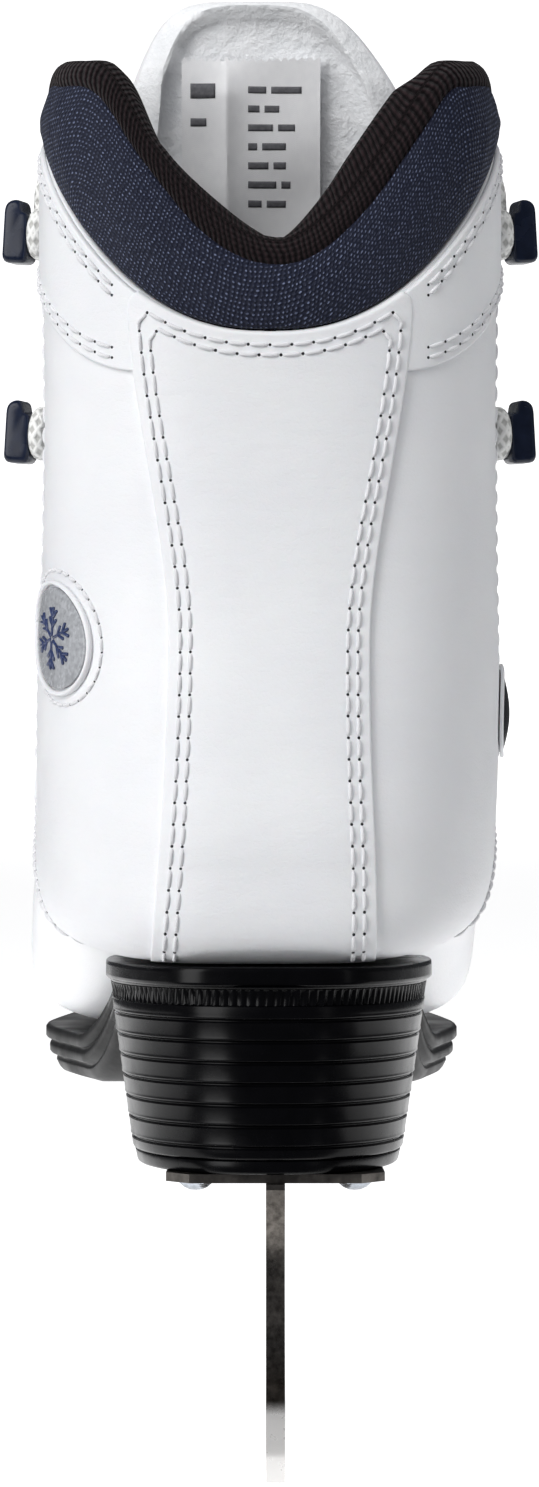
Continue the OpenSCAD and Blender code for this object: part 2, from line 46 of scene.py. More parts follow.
# ---------------------------------------------------------------- camera
cam_data = bpy.data.cameras.new("camera")
cam = bpy.data.objects.new("camera", cam_data)
scene.collection.objects.link(cam)
cam_data.sensor_fit = "VERTICAL"
cam_data.sensor_height = 36.0
cam_data.lens = 5400 / 1487 * 36.0
cam_data.dof.use_dof = False
cam_data.clip_start, cam_data.clip_end = 0.05, 20
cam.location = (-0.001, -0.995, 0.125)
cam.rotation_euler = (math.radians(90), 0, 0)
scene.camera = cam

# ---------------------------------------------------------------- boot surface, in millimetres
SEAT, TREAD, SOLE = 87.6, 71.0, 9.0
ST = np.array([
    [-88, 250, -30, 256, 36.5, -0.9, 0, 0.8, 0.62],
    [-87, 225, -25, 232, 39, -0.9, 0, 0.8, 0.6],
    [-85, 200, -19, 209, 39.4, -0.9, 0, 0.8, 0.6],
    [-84, 175, -14, 187, 39.4, -0.9, 0, 0.8, 0.62],
    [-86, 150, -5, 167, 39.8, -1, 0, 0.8, 0.66],
    [-91, 125, 9, 151, 40.6, -1.2, 0, 0.78, 0.72],
    [-94.5, 105, 27, 137, 40.8, -1.4, -0.05, 0.68, 0.8],
    [-91, SEAT + 1.6, 46, 125, 41, -2, -0.16, 0.52, 0.85],
    [-60, SEAT + 0.9, 60, 118, 41.2, -2.8, -0.16, 0.5, 0.86],
    [-25, TREAD + 14.2, 74, 112, 42, -3.6, -0.06, 0.56, 0.86],
    [10, TREAD + 1.8, 88, 107, 42.3, -4.4, 0.02, 0.58, 0.86],
    [45, TREAD + 0.5, 99, 102, 41.3, -4.5, 0.03, 0.58, 0.88],
    [74, TREAD + 0.9, 106.5, 96, 37.5, -4.4, 0.02, 0.6, 0.9],
    [94, TREAD + 2.8, 111.5, 89.5, 28.5, -4.2, 0, 0.72, 0.95],
    [105, TREAD + 6, 114, 84, 16, -4.1, 0, 0.85, 1],
    [110.5, TREAD + 8.6, 114.6, 81.6, 4.5, -4.1, 0, 0.9, 1]], float)


def sm(v):
    t = np.clip(v, 0, 1)
    return t * t * (3 - 2 * t)


def fold(u):
    a = np.abs(u)
    return np.where(a > 180, 360 - a, a)


def blend4(a, b, c, d, t):
    return 0.5 * (2 * b + (c - a) * t + (2 * a - 5 * b + 4 * c - d) * t * t + (3 * b - a - 3 * c + d) * t ** 3)


def station(s):
    s = np.asarray(s, float)
    i = np.clip(np.floor(s), 0, len(ST) - 2).astype(int)
    t = (s - i)[..., None]
    at = lambda k: ST[np.clip(k, 0, len(ST) - 1)]
    return blend4(at(i - 1), at(i), at(i + 1), at(i + 2), t)


def spow(v, e):
    return np.sign(v) * np.abs(v) ** e


def shell(s, u, d):
    """Points on the boot's surface, (..., 3) in mm."""
    s, u, d = np.broadcast_arrays(np.asarray(s, float), np.asarray(u, float), np.asarray(d, float))
    c = station(s)
    b, f = c[..., 0:2], c[..., 2:4]
    h = np.linalg.norm(b - f, axis=-1) / 2
    m, v = (b + f) / 2, (b - f) / (2 * h)[..., None]
    cu, su = np.cos(np.radians(u)), np.sin(np.radians(u))
    e = np.where(cu > 0, c[..., 7], c[..., 8])
    a = np.maximum(h - d, 0.3) * spow(cu, e)
    x = c[..., 5] + np.maximum(c[..., 4] - d, 0.3) * spow(su, e) * (1 + c[..., 6] * cu)
    return np.stack([x, m[..., 0] + v[..., 0] * a, m[..., 1] + v[..., 1] * a], -1)


def outward(s, u):
    a, b = shell(s, np.asarray(u) - 2, 0), shell(s, np.asarray(u) + 2, 0)
    c, d = shell(np.asarray(s) - 0.1, u, 0), shell(np.asarray(s) + 0.1, u, 0)
    n = np.cross(b - a, c - d)
    return n / np.linalg.norm(n, axis=-1, keepdims=True)


def off(s, u, h):
    """A point at height h over the surface, along its normal."""
    return shell(s, u, 0) + outward(s, u) * np.asarray(h, float)[..., None]


def quarter_top(u): return 2.2 - 1.3 * sm(fold(u) / 100)
def collar_top(u): return 1.59 - 1.16 * sm(np.abs(u - 1) / 54) ** 0.87 + 0.2 * sm((np.abs(u) - 78) / 20)


def roll_rise(u):
    height, run, drop, start = (0.17, 26, 0.35, 2) if u < 0 else (0.39, 35, 0.51, 14)
    slope = height * min(1, abs(u) / run) ** 0.8 - drop * float(sm((abs(u) - start) / 36))
    return max(-0.1, 0.02 + slope - 0.11 * math.exp(-abs(u - 2) / 5))


def roll_swell(u): return 1 + 0.68 * sm(fold(u) / 60)
def quarter_low(u): return 7.95 - 1.75 * sm((fold(u) - 22) / 118)
def facing_low(u): return 2.45 - 0.55 * sm((fold(u) - 30) / 75) + 0.05
def front_edge(s): return 122 + 5.6 * (s - 0.6)
def stay_half(s): return np.where(s < 4.4, 24 - 7.2 * sm((s - 2.2) / 2.2), 16.8 + 1.6 * sm((s - 4.4) / 2.6))


def angle_at(s, x):
    c = station(s)
    return np.degrees(np.arcsin(np.minimum(1, (x / (c[..., 4] * (1 + c[..., 6]))) ** (1 / c[..., 7]))))


def front_angle(s, x, d):
    """u on the front half where the surface at depth d has that x."""
    c = station(s)
    r = np.clip((x - c[..., 5]) / (c[..., 4] - d), -1, 1)
    return 180 - np.degrees(np.arcsin(np.abs(r) ** (1 / c[..., 8]))) * np.sign(r)


# ---------------------------------------------------------------- mesh helpers
def mesh_object(name, verts, faces, mat, uv=None, smooth=True, sharp=None, body="boot"):
    me = bpy.data.meshes.new(name)
    me.from_pydata([tuple(v) for v in np.asarray(verts) / 1000.0], [], [tuple(f) for f in faces])
    me.update()
    bm = bmesh.new()
    bm.from_mesh(me)
    bmesh.ops.recalc_face_normals(bm, faces=bm.faces)
    bm.to_mesh(me)
    bm.free()
    if uv is not None:
        layer = me.uv_layers.new(name="UVMap")
        idx = np.zeros(len(me.loops), np.int32)
        me.loops.foreach_get("vertex_index", idx)
        layer.data.foreach_set("uv", np.asarray(uv, np.float32)[idx].ravel())
    if smooth:
        me.shade_smooth()
    if sharp:
        me.set_sharp_from_angle(angle=math.radians(sharp))
    ob = bpy.data.objects.new(name, me)
    scene.collection.objects.link(ob)
    if mat:
        me.materials.append(mat)
    if body:
        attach(ob, body)
    return ob


def refined(n, edge):
    base = np.linspace(0, 1, n + 1)
    extra = np.array([0.25, 0.5, 0.75, 1.0, 1.5]) * edge
    return np.unique(np.concatenate([base, extra, 1 - extra]).round(6))


def arc_uv(p):
    du = np.zeros(p.shape[:2])
    du[:, 1:] = np.cumsum(np.linalg.norm(np.diff(p, axis=1), axis=2), 1)
    du -= du[:, p.shape[1] // 2][:, None]
    dv = np.zeros(p.shape[:2])
    dv[1:, :] = np.cumsum(np.linalg.norm(np.diff(p, axis=0), axis=2), 0)
    return np.stack([du, dv], -1)


def sheet_mesh(top, low):
    """Closed thick sheet from two grids of points; columns run so that the top faces outward."""
    n, m = top.shape[:2]
    q = n * m
    i, j = np.meshgrid(np.arange(n - 1), np.arange(m - 1), indexing="ij")
    a = (i * m + j).ravel()
    skin = np.stack([a, a + m, a + m + 1, a + 1], 1)
    back = np.stack([a, a + 1, a + m + 1, a + m], 1) + q
    j = np.arange(m - 1)
    e0 = np.stack([j, j + 1, j + 1 + q, j + q], 1)
    b = (n - 1) * m + j
    e1 = np.stack([b + 1, b, b + q, b + 1 + q], 1)
    i = np.arange(n - 1) * m
    s0 = np.stack([i + m, i, i + q, i + m + q], 1)
    k = i + m - 1
    s1 = np.stack([k, k + m, k + m + q, k + q], 1)
    faces = np.concatenate([skin, back, e0, e1, s0, s1])
    verts = np.concatenate([top.reshape(-1, 3), low.reshape(-1, 3)])
    return verts, faces


def panel(name, grid, n, m, d0, d1, mat, rnd=0.8, span=(80, 60), shape=None, sharp=40, body="boot", close=False):
    """A leather-like panel. grid(a, b) gives s, u for a, b in 0..1; rnd rounds its outer edge."""
    A, B = refined(n, rnd / span[0]), refined(m, rnd / span[1])
    a, b = np.meshgrid(A, B, indexing="ij")
    g = grid(a, b)
    s, u = g[0], g[1]
    extra = g[2] if len(g) > 2 else 0
    dx = g[3] if len(g) > 3 else 0
    ea = np.minimum(a, 1 - a) * span[0]
    eb = np.minimum(b, 1 - b) * span[1] if not close else ea * 0 + 99
    t = np.clip(np.minimum(ea, eb) / rnd, 0, 1)
    dip = rnd * 0.8 * (1 - np.sqrt(1 - (1 - t) ** 2))
    bulge = shape(a, b, s, u) if shape else 0
    top = shell(s, u, d0 + extra + np.minimum(dip, (d1 - d0) * 0.8) - bulge)
    low = shell(s, u, d1 + extra)
    top[..., 0] += dx
    low[..., 0] += dx
    verts, faces = sheet_mesh(top, low)
    uv = arc_uv(top)
    uv = np.concatenate([uv.reshape(-1, 2), uv.reshape(-1, 2)])
    return mesh_object(name, verts, faces, mat, uv, True, sharp, body)


def path_frames(p, closed=False, up=None):
    p = np.asarray(p, float)
    t = np.gradient(p, axis=0)
    t /= np.linalg.norm(t, axis=1)[:, None]
    w = np.array(up if up is not None else ([0, 0, 1] if abs(t[0][2]) < 0.8 else [1, 0, 0]), float)
    W = []
    for k in range(len(p)):
        w = w - t[k] * (w @ t[k])
        w /= np.linalg.norm(w)
        W.append(w.copy())
    W = np.array(W)
    return t, W, np.cross(t, W)


def tube_mesh(p, rw, rb, sides=14, up=None, taper=None):
    """A tube with radii rw and rb across its path, with round ends."""
    p = np.asarray(p, float)
    t, w, b = path_frames(p, up=up)
    n = len(p)
    k = np.ones(n) if taper is None else taper
    ang = np.linspace(0, 2 * np.pi, sides, endpoint=False)
    ring = lambda i, f, off: p[i] + t[i] * off + k[i] * f * (rw * np.cos(ang)[:, None] * w[i] + rb * np.sin(ang)[:, None] * b[i])
    rr = min(rw, rb)
    rings = [ring(0, 0.5, -0.35 * rr)] + [ring(i, 1, 0) for i in range(n)] + [ring(n - 1, 0.5, 0.35 * rr)]
    v = np.concatenate(rings + [[p[0] - t[0] * 0.45 * rr], [p[-1] + t[-1] * 0.45 * rr]])
    N = len(rings)
    f = []
    for i in range(N - 1):
        for j in range(sides):
            j2 = (j + 1) % sides
            f.append((i * sides + j, i * sides + j2, (i + 1) * sides + j2, (i + 1) * sides + j))
    for j in range(sides):
        j2 = (j + 1) % sides
        f.append((N * sides, j2, j))
        f.append((N * sides + 1, (N - 1) * sides + j, (N - 1) * sides + j2))
    along = np.concatenate([[0], np.cumsum(np.linalg.norm(np.diff(p, axis=0), axis=1))])
    along = np.concatenate([[along[0]], along, [along[-1]]])
    uv = [(abs(((j / sides) * 2) % 2 - 1) * math.pi * max(rw, rb), along[i]) for i in range(N) for j in range(sides)]
    uv += [(0, along[0]), (0, along[-1])]
    return v, f, np.array(uv)


def resample(p, step):
    p = np.asarray(p, float)
    d = np.concatenate([[0], np.cumsum(np.linalg.norm(np.diff(p, axis=0), axis=1))])
    n = max(2, int(round(d[-1] / step)) + 1)
    q = np.linspace(0, d[-1], n)
    return np.stack([np.interp(q, d, p[:, k]) for k in range(3)], 1)


def smooth_path(p, n):
    p = np.asarray(p, float)
    out = []
    for i in range(len(p) - 1):
        a, b, c, d = p[max(0, i - 1)], p[i], p[i + 1], p[min(len(p) - 1, i + 2)]
        out += [blend4(a, b, c, d, k / n) for k in range(n)]
    return np.array(out + [p[-1]])


def join_meshes(parts):
    V, F, U, o = [], [], [], 0
    for v, f, uv in parts:
        V.append(v)
        F += [tuple(int(x) + o for x in q) for q in f]
        U.append(uv)
        o += len(v)
    return np.concatenate(V), F, np.concatenate(U)


def stack_mesh(rings, cap=True):
    n, m = len(rings), len(rings[0])
    v = np.concatenate(rings)
    f = []
    for i in range(n - 1):
        for j in range(m):
            k = (j + 1) % m
            f.append((i * m + j, i * m + k, (i + 1) * m + k, (i + 1) * m + j))
    if cap:
        for o in (0, (n - 1) * m):
            f.append((o, o + 1, o + m - 1))
            f += [(o + k, o + k + 1, o + m - k - 1, o + m - k) for k in range(1, m // 2 - 1)]
            f.append((o + m // 2 - 1, o + m // 2, o + m // 2 + 1))
    seg = np.linalg.norm(np.roll(rings[0], -1, 0) - rings[0], axis=1)
    around = np.concatenate([[0], np.cumsum(seg)[:-1]])
    uv = np.concatenate([np.stack([around, np.full(m, r[:, 2].mean())], 1) for r in rings])
    return v, f, uv


# ---------------------------------------------------------------- materials
def new_mat(name):
    m = bpy.data.materials.new(name)
    m.use_nodes = True
    nt = m.node_tree
    return m, nt, nt.nodes["Principled BSDF"]


def nd(nt, kind, ins=None, **attrs):
    n = nt.nodes.new(kind)
    for k, v in attrs.items():
        setattr(n, k, v)
    for k, v in (ins or {}).items():
        if isinstance(v, bpy.types.NodeSocket):
            nt.links.new(v, n.inputs[k])
        else:
            n.inputs[k].default_value = v
    return n


def math_node(nt, op, a, b=None, clamp=False):
    n = nt.nodes.new("ShaderNodeMath")
    n.operation = op
    n.use_clamp = clamp
    for i, v in enumerate([a, b]):
        if v is None:
            continue
        if isinstance(v, bpy.types.NodeSocket):
            nt.links.new(v, n.inputs[i])
        else:
            n.inputs[i].default_value = v
    return n.outputs[0]


def ramp(nt, fac, stops):
    r = nt.nodes.new("ShaderNodeValToRGB")
    nt.links.new(fac, r.inputs[0])
    e = r.color_ramp.elements
    while len(e) < len(stops):
        e.new(0.5)
    for q, (pos, col) in zip(e, stops):
        q.position = pos
        q.color = (*col, 1) if len(col) == 3 else col
    return r.outputs[0]


def coords(nt, kind="Object"):
    return nt.nodes.new("ShaderNodeTexCoord").outputs[kind]


def noise(nt, vec, scale, detail=3, rough=0.5):
    return nd(nt, "ShaderNodeTexNoise", {"Vector": vec, "Scale": scale, "Detail": detail, "Roughness": rough}).outputs["Fac"]


def bump(nt, height, strength, dist, normal=None):
    ins = {"Height": height, "Strength": strength, "Distance": dist}
    if normal is not None:
        ins["Normal"] = normal
    return nd(nt, "ShaderNodeBump", ins).outputs[0]


def link(nt, a, b):
    nt.links.new(a, b)


def leather():
    m, nt, p = new_mat("white_leather")
    c = coords(nt)
    cell = nd(nt, "ShaderNodeTexVoronoi", {"Vector": c, "Scale": 1150.0}, feature="DISTANCE_TO_EDGE").outputs["Distance"]
    grain = ramp(nt, cell, [(0.0, (0, 0, 0)), (0.12, (1, 1, 1))])
    fine = noise(nt, c, 2600, 2)
    big = noise(nt, c, 45, 3)
    crease = noise(nt, nd(nt, "ShaderNodeMapping", {"Vector": c, "Scale": (160, 160, 420)}).outputs[0], 1, 3, 0.55)
    b1 = bump(nt, crease, 0.28, 0.0005)
    b2 = bump(nt, grain, 0.22, 0.00008, b1)
    b3 = bump(nt, fine, 0.18, 0.00006, b2)
    link(nt, b3, p.inputs["Normal"])
    col = ramp(nt, big, [(0.3, (0.80, 0.805, 0.83)), (0.7, (0.84, 0.845, 0.86))])
    link(nt, col, p.inputs["Base Color"])
    link(nt, ramp(nt, noise(nt, c, 160, 3), [(0.3, (0.40,) * 3), (0.7, (0.52,) * 3)]), p.inputs["Roughness"])
    p.inputs["Specular IOR Level"].default_value = 0.42
    p.inputs["Coat Weight"].default_value = 0.08
    p.inputs["Coat Roughness"].default_value = 0.35
    p.inputs["Subsurface Weight"].default_value = 0.04
    p.inputs["Subsurface Scale"].default_value = 0.002
    return m


def navy_mesh():
    m, nt, p = new_mat("navy_mesh")
    uv = coords(nt, "UV")
    sep = nd(nt, "ShaderNodeSeparateXYZ", {"Vector": uv})
    x, y = sep.outputs[0], sep.outputs[1]
    wob = math_node(nt, "MULTIPLY", noise(nt, uv, 0.35, 2), 1.6)
    x = math_node(nt, "ADD", x, wob)
    k = 2 * math.pi / 1.4
    a = math_node(nt, "SINE", math_node(nt, "MULTIPLY", math_node(nt, "ADD", x, y), k))
    b = math_node(nt, "SINE", math_node(nt, "MULTIPLY", math_node(nt, "SUBTRACT", x, y), k * 0.72))
    f = math_node(nt, "MULTIPLY", a, b)
    h = math_node(nt, "ADD", math_node(nt, "MULTIPLY", f, 0.5), 0.5)
    speck = ramp(nt, h, [(0.7, (0, 0, 0)), (0.88, (1, 1, 1))])
    vary = ramp(nt, noise(nt, uv, 1.1, 2), [(0.42, (0.1,) * 3), (0.62, (1, 1, 1))])
    fac = math_node(nt, "MULTIPLY", speck, vary)
    yarn = noise(nt, nd(nt, "ShaderNodeMapping", {"Vector": uv, "Rotation": (0, 0, 0.6), "Scale": (6, 1.2, 1)}).outputs[0], 1.6, 3)
    dark = ramp(nt, yarn, [(0.35, (0.003, 0.004, 0.011)), (0.7, (0.013, 0.017, 0.042))])
    mix = nd(nt, "ShaderNodeMix", data_type="RGBA")
    link(nt, fac, mix.inputs[0])
    link(nt, dark, mix.inputs[6])
    mix.inputs[7].default_value = (0.16, 0.19, 0.3, 1)
    link(nt, mix.outputs[2], p.inputs["Base Color"])
    p.inputs["Roughness"].default_value = 0.62
    p.inputs["Sheen Weight"].default_value = 0.04
    p.inputs["Specular IOR Level"].default_value = 0.3
    link(nt, bump(nt, yarn, 0.4, 0.0002, bump(nt, h, 0.7, 0.0003)), p.inputs["Normal"])
    return m


def ribbed():
    m, nt, p = new_mat("ribbed_lining")
    uv = coords(nt, "UV")
    sep = nd(nt, "ShaderNodeSeparateXYZ", {"Vector": uv})
    x = math_node(nt, "ADD", sep.outputs[0], math_node(nt, "MULTIPLY", noise(nt, uv, 0.25, 2), 1.4))
    y = sep.outputs[1]
    rib = math_node(nt, "SINE", math_node(nt, "MULTIPLY", math_node(nt, "ADD", x, math_node(nt, "MULTIPLY", y, 0.35)), 2 * math.pi / 1.15))
    kn = math_node(nt, "SINE", math_node(nt, "MULTIPLY", y, 2 * math.pi / 0.9))
    h = math_node(nt, "ADD", math_node(nt, "MULTIPLY", rib, 0.38), math_node(nt, "ADD", math_node(nt, "MULTIPLY", kn, 0.12), 0.5))
    col = ramp(nt, h, [(0.1, (0.0025, 0.0015, 0.002)), (0.55, (0.008, 0.0045, 0.0055)), (0.95, (0.026, 0.016, 0.018))])
    link(nt, col, p.inputs["Base Color"])
    p.inputs["Roughness"].default_value = 0.95
    p.inputs["Sheen Weight"].default_value = 0.07
    p.inputs["Sheen Roughness"].default_value = 0.5
    p.inputs["Specular IOR Level"].default_value = 0.15
    fuzz = noise(nt, uv, 9, 3)
    link(nt, bump(nt, fuzz, 0.5, 0.00025, bump(nt, h, 0.9, 0.0006)), p.inputs["Normal"])
    return m


def fleece():
    m, nt, p = new_mat("fleece")
    c = coords(nt)
    n1, n2 = noise(nt, c, 900, 4, 0.65), noise(nt, c, 260, 3)
    link(nt, ramp(nt, n2, [(0.3, (0.84, 0.855, 0.875)), (0.75, (0.93, 0.935, 0.95))]), p.inputs["Base Color"])
    p.inputs["Roughness"].default_value = 0.98
    p.inputs["Sheen Weight"].default_value = 0.35
    p.inputs["Sheen Roughness"].default_value = 0.6
    p.inputs["Specular IOR Level"].default_value = 0.1
    link(nt, bump(nt, n1, 0.7, 0.0006, bump(nt, n2, 0.6, 0.0011)), p.inputs["Normal"])
    return m


def cloth(name, base, dark, pitch=0.5, rough=0.9, strength=0.5, solid=False):
    m, nt, p = new_mat(name)
    uv = coords(nt, "UV")
    if solid:
        uv = nd(nt, "ShaderNodeMapping", {"Vector": coords(nt), "Scale": (1000, 1000, 1000)}).outputs[0]
    sep = nd(nt, "ShaderNodeSeparateXYZ", {"Vector": uv})
    k = 2 * math.pi / pitch
    h = math_node(nt, "MULTIPLY", math_node(nt, "SINE", math_node(nt, "MULTIPLY", sep.outputs[0], k)),
                  math_node(nt, "SINE", math_node(nt, "MULTIPLY", sep.outputs[1], k)))
    h = math_node(nt, "ADD", math_node(nt, "MULTIPLY", h, 0.5), 0.5)
    v = noise(nt, uv, 0.4, 3)
    mixed = math_node(nt, "ADD", math_node(nt, "MULTIPLY", h, 0.35), math_node(nt, "MULTIPLY", v, 0.65))
    link(nt, ramp(nt, mixed, [(0.3, dark), (0.7, base)]), p.inputs["Base Color"])
    p.inputs["Roughness"].default_value = rough
    p.inputs["Sheen Weight"].default_value = 0.12
    link(nt, bump(nt, noise(nt, uv, 6, 2), 0.25, 0.0001, bump(nt, h, strength, 0.00012)), p.inputs["Normal"])
    return m


def braid():
    m, nt, p = new_mat("lace_braid")
    uv = coords(nt, "UV")
    sep = nd(nt, "ShaderNodeSeparateXYZ", {"Vector": uv})
    k = 2 * math.pi / 2.2
    a = math_node(nt, "SINE", math_node(nt, "MULTIPLY", math_node(nt, "ADD", sep.outputs[0], sep.outputs[1]), k))
    b = math_node(nt, "SINE", math_node(nt, "MULTIPLY", math_node(nt, "SUBTRACT", sep.outputs[0], sep.outputs[1]), k))
    h = math_node(nt, "ADD", math_node(nt, "MULTIPLY", math_node(nt, "MAXIMUM", a, b), 0.5), 0.5)
    link(nt, ramp(nt, h, [(0.35, (0.52, 0.52, 0.5)), (0.8, (0.86, 0.86, 0.84))]), p.inputs["Base Color"])
    p.inputs["Roughness"].default_value = 0.85
    p.inputs["Sheen Weight"].default_value = 0.2
    link(nt, bump(nt, noise(nt, uv, 5, 3), 0.3, 0.0002, bump(nt, h, 0.8, 0.00045)), p.inputs["Normal"])
    return m


def plastic(name, base, rough=(0.12, 0.24), scale=300, bumps=0.06, spec=0.5, coat=0.15):
    m, nt, p = new_mat(name)
    c = coords(nt)
    n = noise(nt, c, scale, 4)
    link(nt, ramp(nt, n, [(0.3, tuple(x * 0.8 for x in base)), (0.7, tuple(min(1, x * 1.25) for x in base))]), p.inputs["Base Color"])
    link(nt, ramp(nt, noise(nt, c, scale * 0.5, 4), [(0.35, (rough[0],) * 3), (0.7, (rough[1],) * 3)]), p.inputs["Roughness"])
    link(nt, bump(nt, n, bumps, 0.0003), p.inputs["Normal"])
    p.inputs["Coat Weight"].default_value = coat
    p.inputs["Specular IOR Level"].default_value = spec
    return m


def rubber():
    m, nt, p = new_mat("outsole_rubber")
    c = coords(nt)
    n = noise(nt, c, 700, 4)
    link(nt, ramp(nt, n, [(0.3, (0.009, 0.009, 0.0092)), (0.7, (0.018, 0.018, 0.0185))]), p.inputs["Base Color"])
    link(nt, ramp(nt, noise(nt, c, 120, 3), [(0.3, (0.38,) * 3), (0.7, (0.55,) * 3)]), p.inputs["Roughness"])
    p.inputs["Specular IOR Level"].default_value = 0.15
    link(nt, bump(nt, n, 0.2, 0.0001), p.inputs["Normal"])
    return m


def steel(name, lo, hi, rough=(0.22, 0.4), stretch=(900, 25, 900), highlight_band=None):
    m, nt, p = new_mat(name)
    c = coords(nt)
    brush = noise(nt, nd(nt, "ShaderNodeMapping", {"Vector": c, "Scale": stretch}).outputs[0], 1, 3, 0.6)
    col = ramp(nt, brush, [(0.25, lo), (0.75, hi)])
    # painted highlight: below the height band the steel turns light grey and less metallic, a lit copy of the darker
    # steel above
    if highlight_band:
        z = nd(nt, "ShaderNodeSeparateXYZ", {"Vector": c}).outputs[2]
        highlight_mask = nd(nt, "ShaderNodeMapRange", {"Value": z, 1: highlight_band[0], 2: highlight_band[1], 3: 1.0, 4: 0.0}).outputs[0]
        mix = nd(nt, "ShaderNodeMix", data_type="RGBA")
        link(nt, highlight_mask, mix.inputs[0])
        link(nt, col, mix.inputs[6])
        mix.inputs[7].default_value = (0.62, 0.61, 0.6, 1)
        col = mix.outputs[2]
        metal = math_node(nt, "SUBTRACT", 1.0, math_node(nt, "MULTIPLY", highlight_mask, 0.6))
    link(nt, col, p.inputs["Base Color"])
    if highlight_band:
        link(nt, metal, p.inputs["Metallic"])
    else:
        p.inputs["Metallic"].default_value = 1.0
    link(nt, ramp(nt, noise(nt, c, 220, 4), [(0.3, (rough[0],) * 3), (0.7, (rough[1],) * 3)]), p.inputs["Roughness"])
    link(nt, bump(nt, brush, 0.12, 0.00006), p.inputs["Normal"])
    return m


def plain(name, col, rough=0.6, emit=0.0):
    m, nt, p = new_mat(name)
    p.inputs["Base Color"].default_value = (*col, 1)
    p.inputs["Roughness"].default_value = rough
    if emit:
        p.inputs["Emission Color"].default_value = (1, 1, 1, 1)
        p.inputs["Emission Strength"].default_value = emit
    return m


LEATHER, NAVY, RIB, FLEECE, LACE = leather(), navy_mesh(), ribbed(), fleece(), braid()
LINING = cloth("foot_textile", (0.78, 0.78, 0.76), (0.6, 0.6, 0.58))
LABEL = cloth("label_tape", (0.93, 0.93, 0.94), (0.85, 0.85, 0.87), 0.35, 0.8, 0.25)
THREAD = cloth("thread", (0.84, 0.84, 0.86), (0.70, 0.70, 0.72), 0.45, 0.7, 0.5)
BOARD = cloth("fibre_board", (0.42, 0.33, 0.22), (0.3, 0.23, 0.15), 1.3, 0.95, 0.4, True)
# painted shade: near-black finish for the discs that stand for the shadow inside the needle holes
HOLE_SHADE = plastic("needle_hole_shade", (0.02, 0.02, 0.022), (0.8, 0.95), 900, 0.1)
BLACK = plastic("heel_plastic", (0.0015, 0.0015, 0.002), (0.2, 0.3), 260, 0.05, 0.15, 0.0)
HOOK = plastic("hook_plastic", (0.007, 0.011, 0.026), (0.2, 0.32), 400, 0.06, 0.3, 0.0)
BADGE = plastic("badge_plate", (0.36, 0.37, 0.39), (0.2, 0.32), 1200, 0.12)
NAVY_INK = plastic("badge_motif", (0.03, 0.045, 0.12), (0.25, 0.4), 1200, 0.1)
INK = plastic("label_bars", (0.12, 0.12, 0.13), (0.7, 0.8), 1500, 0.1)
AGLET = plastic("aglet_tip", (0.75, 0.75, 0.78), (0.1, 0.2), 500, 0.05)
RUBBER = rubber()
# the runner below 13.5 mm carries the painted highlight band
BLADE = steel("blade_steel", (0.06, 0.053, 0.047), (0.24, 0.22, 0.2), highlight_band=(0.0135, 0.0155))
PLATE = steel("plate_steel", (0.06, 0.056, 0.052), (0.24, 0.22, 0.2), (0.3, 0.5), (300, 300, 300))
ZINC = steel("zinc_plating", (0.2, 0.22, 0.25), (0.55, 0.58, 0.63), (0.12, 0.28), (500, 500, 500))


# ---------------------------------------------------------------- lace routes, as in the CAD
HOOK_S, HOOK_U, EYE_S = [1.63, 3.17], 109, [3.95, 4.6, 5.25, 5.9]


def unit(v): return v / np.linalg.norm(v)
def eye_u(i): return front_edge(EYE_S[i]) - 10
def eye(side, i, h): return off(EYE_S[i], side * eye_u(i), h)


def beside(s, u, up, fwd, h):
    n = outward(s, u)
    e = unit(np.cross([0, 0, 1], n))
    return off(s, u, h) + fwd * e * (-1 if u < 0 else 1) + up * np.cross(n, e)


def through(side, i): return [eye(side, i, h) for h in (-4.05, -2.3, 1.2, 3.2)]


def climb(side, i, high):
    s = EYE_S[i]
    pts = through(side, i)
    pts += [shell(s - 0.16, side * (front_edge(s) + 4), -2.7), shell(s - 0.32, 180, -1.9 if high else 1.5)]
    if i > 0:
        e = EYE_S[i - 1] + 0.16
        pts += [shell(e, -side * (front_edge(e) + 6), 3.9)] + climb(-side, i - 1, high)
    return pts


def round_hook(side, s):
    at = [(-3, 5), (-3.4, 0), (-2.4, -2.4), (0, -3.4), (2.4, -2.4), (3.4, 0), (3, 5)]
    return [beside(s, side * HOOK_U, a, b, 2.9) for a, b in at]


def edge_way(side, s, k):
    return shell(s, side * (HOOK_U + (front_edge(s) + 3 - HOOK_U) * k), -3)


def lace_route(side, high):
    last, low, top = -side, HOOK_S[1], HOOK_S[0]
    return (climb(side, 3, high)
            + [edge_way(-last, low + 0.13, 1), edge_way(-last, low + 0.13, 0.6)] + round_hook(-last, low)
            + [edge_way(-last, low - 0.13, 0.6), edge_way(-last, low - 0.13, 1)]
            + [shell(2.45, 180, -3.4 if high else 0.4)]
            + [edge_way(last, top + 0.13, 1), edge_way(last, top + 0.13, 0.6)] + round_hook(last, top)[:6]
            + [shell(s, last * u, -h) for s, u, h in
               [(1.3, 111, 2.7), (1.15, 121, 3.2), (1.22, 135, 3.6), (1.36, 152, 4.2), (1.52, 168, 4.8), (1.6, 177, 5)]])


def loop_route(side):
    pts = [(1.56, 176, 9), (1.66, 171, 9.8), (2, 162, 10), (2.35, 152, 9.4), (2.75, 145, 8.6), (3.05, 145, 8),
           (3.1, 152, 7.8), (2.8, 160, 7.8), (2.35, 168, 8), (1.84, 175.6, 8.4)]
    return [shell(s, side * u, -h) for s, u, h in pts]


def tail_route(side):
    pts = [(1.92, 178.6, 8.6), (2.5, 177.6, 8), (3.1, 175, 8.4), (3.8, 167, 8.4), (4.5, 162, 8.4), (5.2, 163, 8),
           (5.9, 168, 8), (6.6, 170, 6), (7.4, 165, 4), (8.1, 154, 3.4)]
    return [shell(s, side * u, -h) for s, u, h in pts]


def path_length(p):
    return float(np.linalg.norm(np.diff(p, axis=0), axis=1).sum())


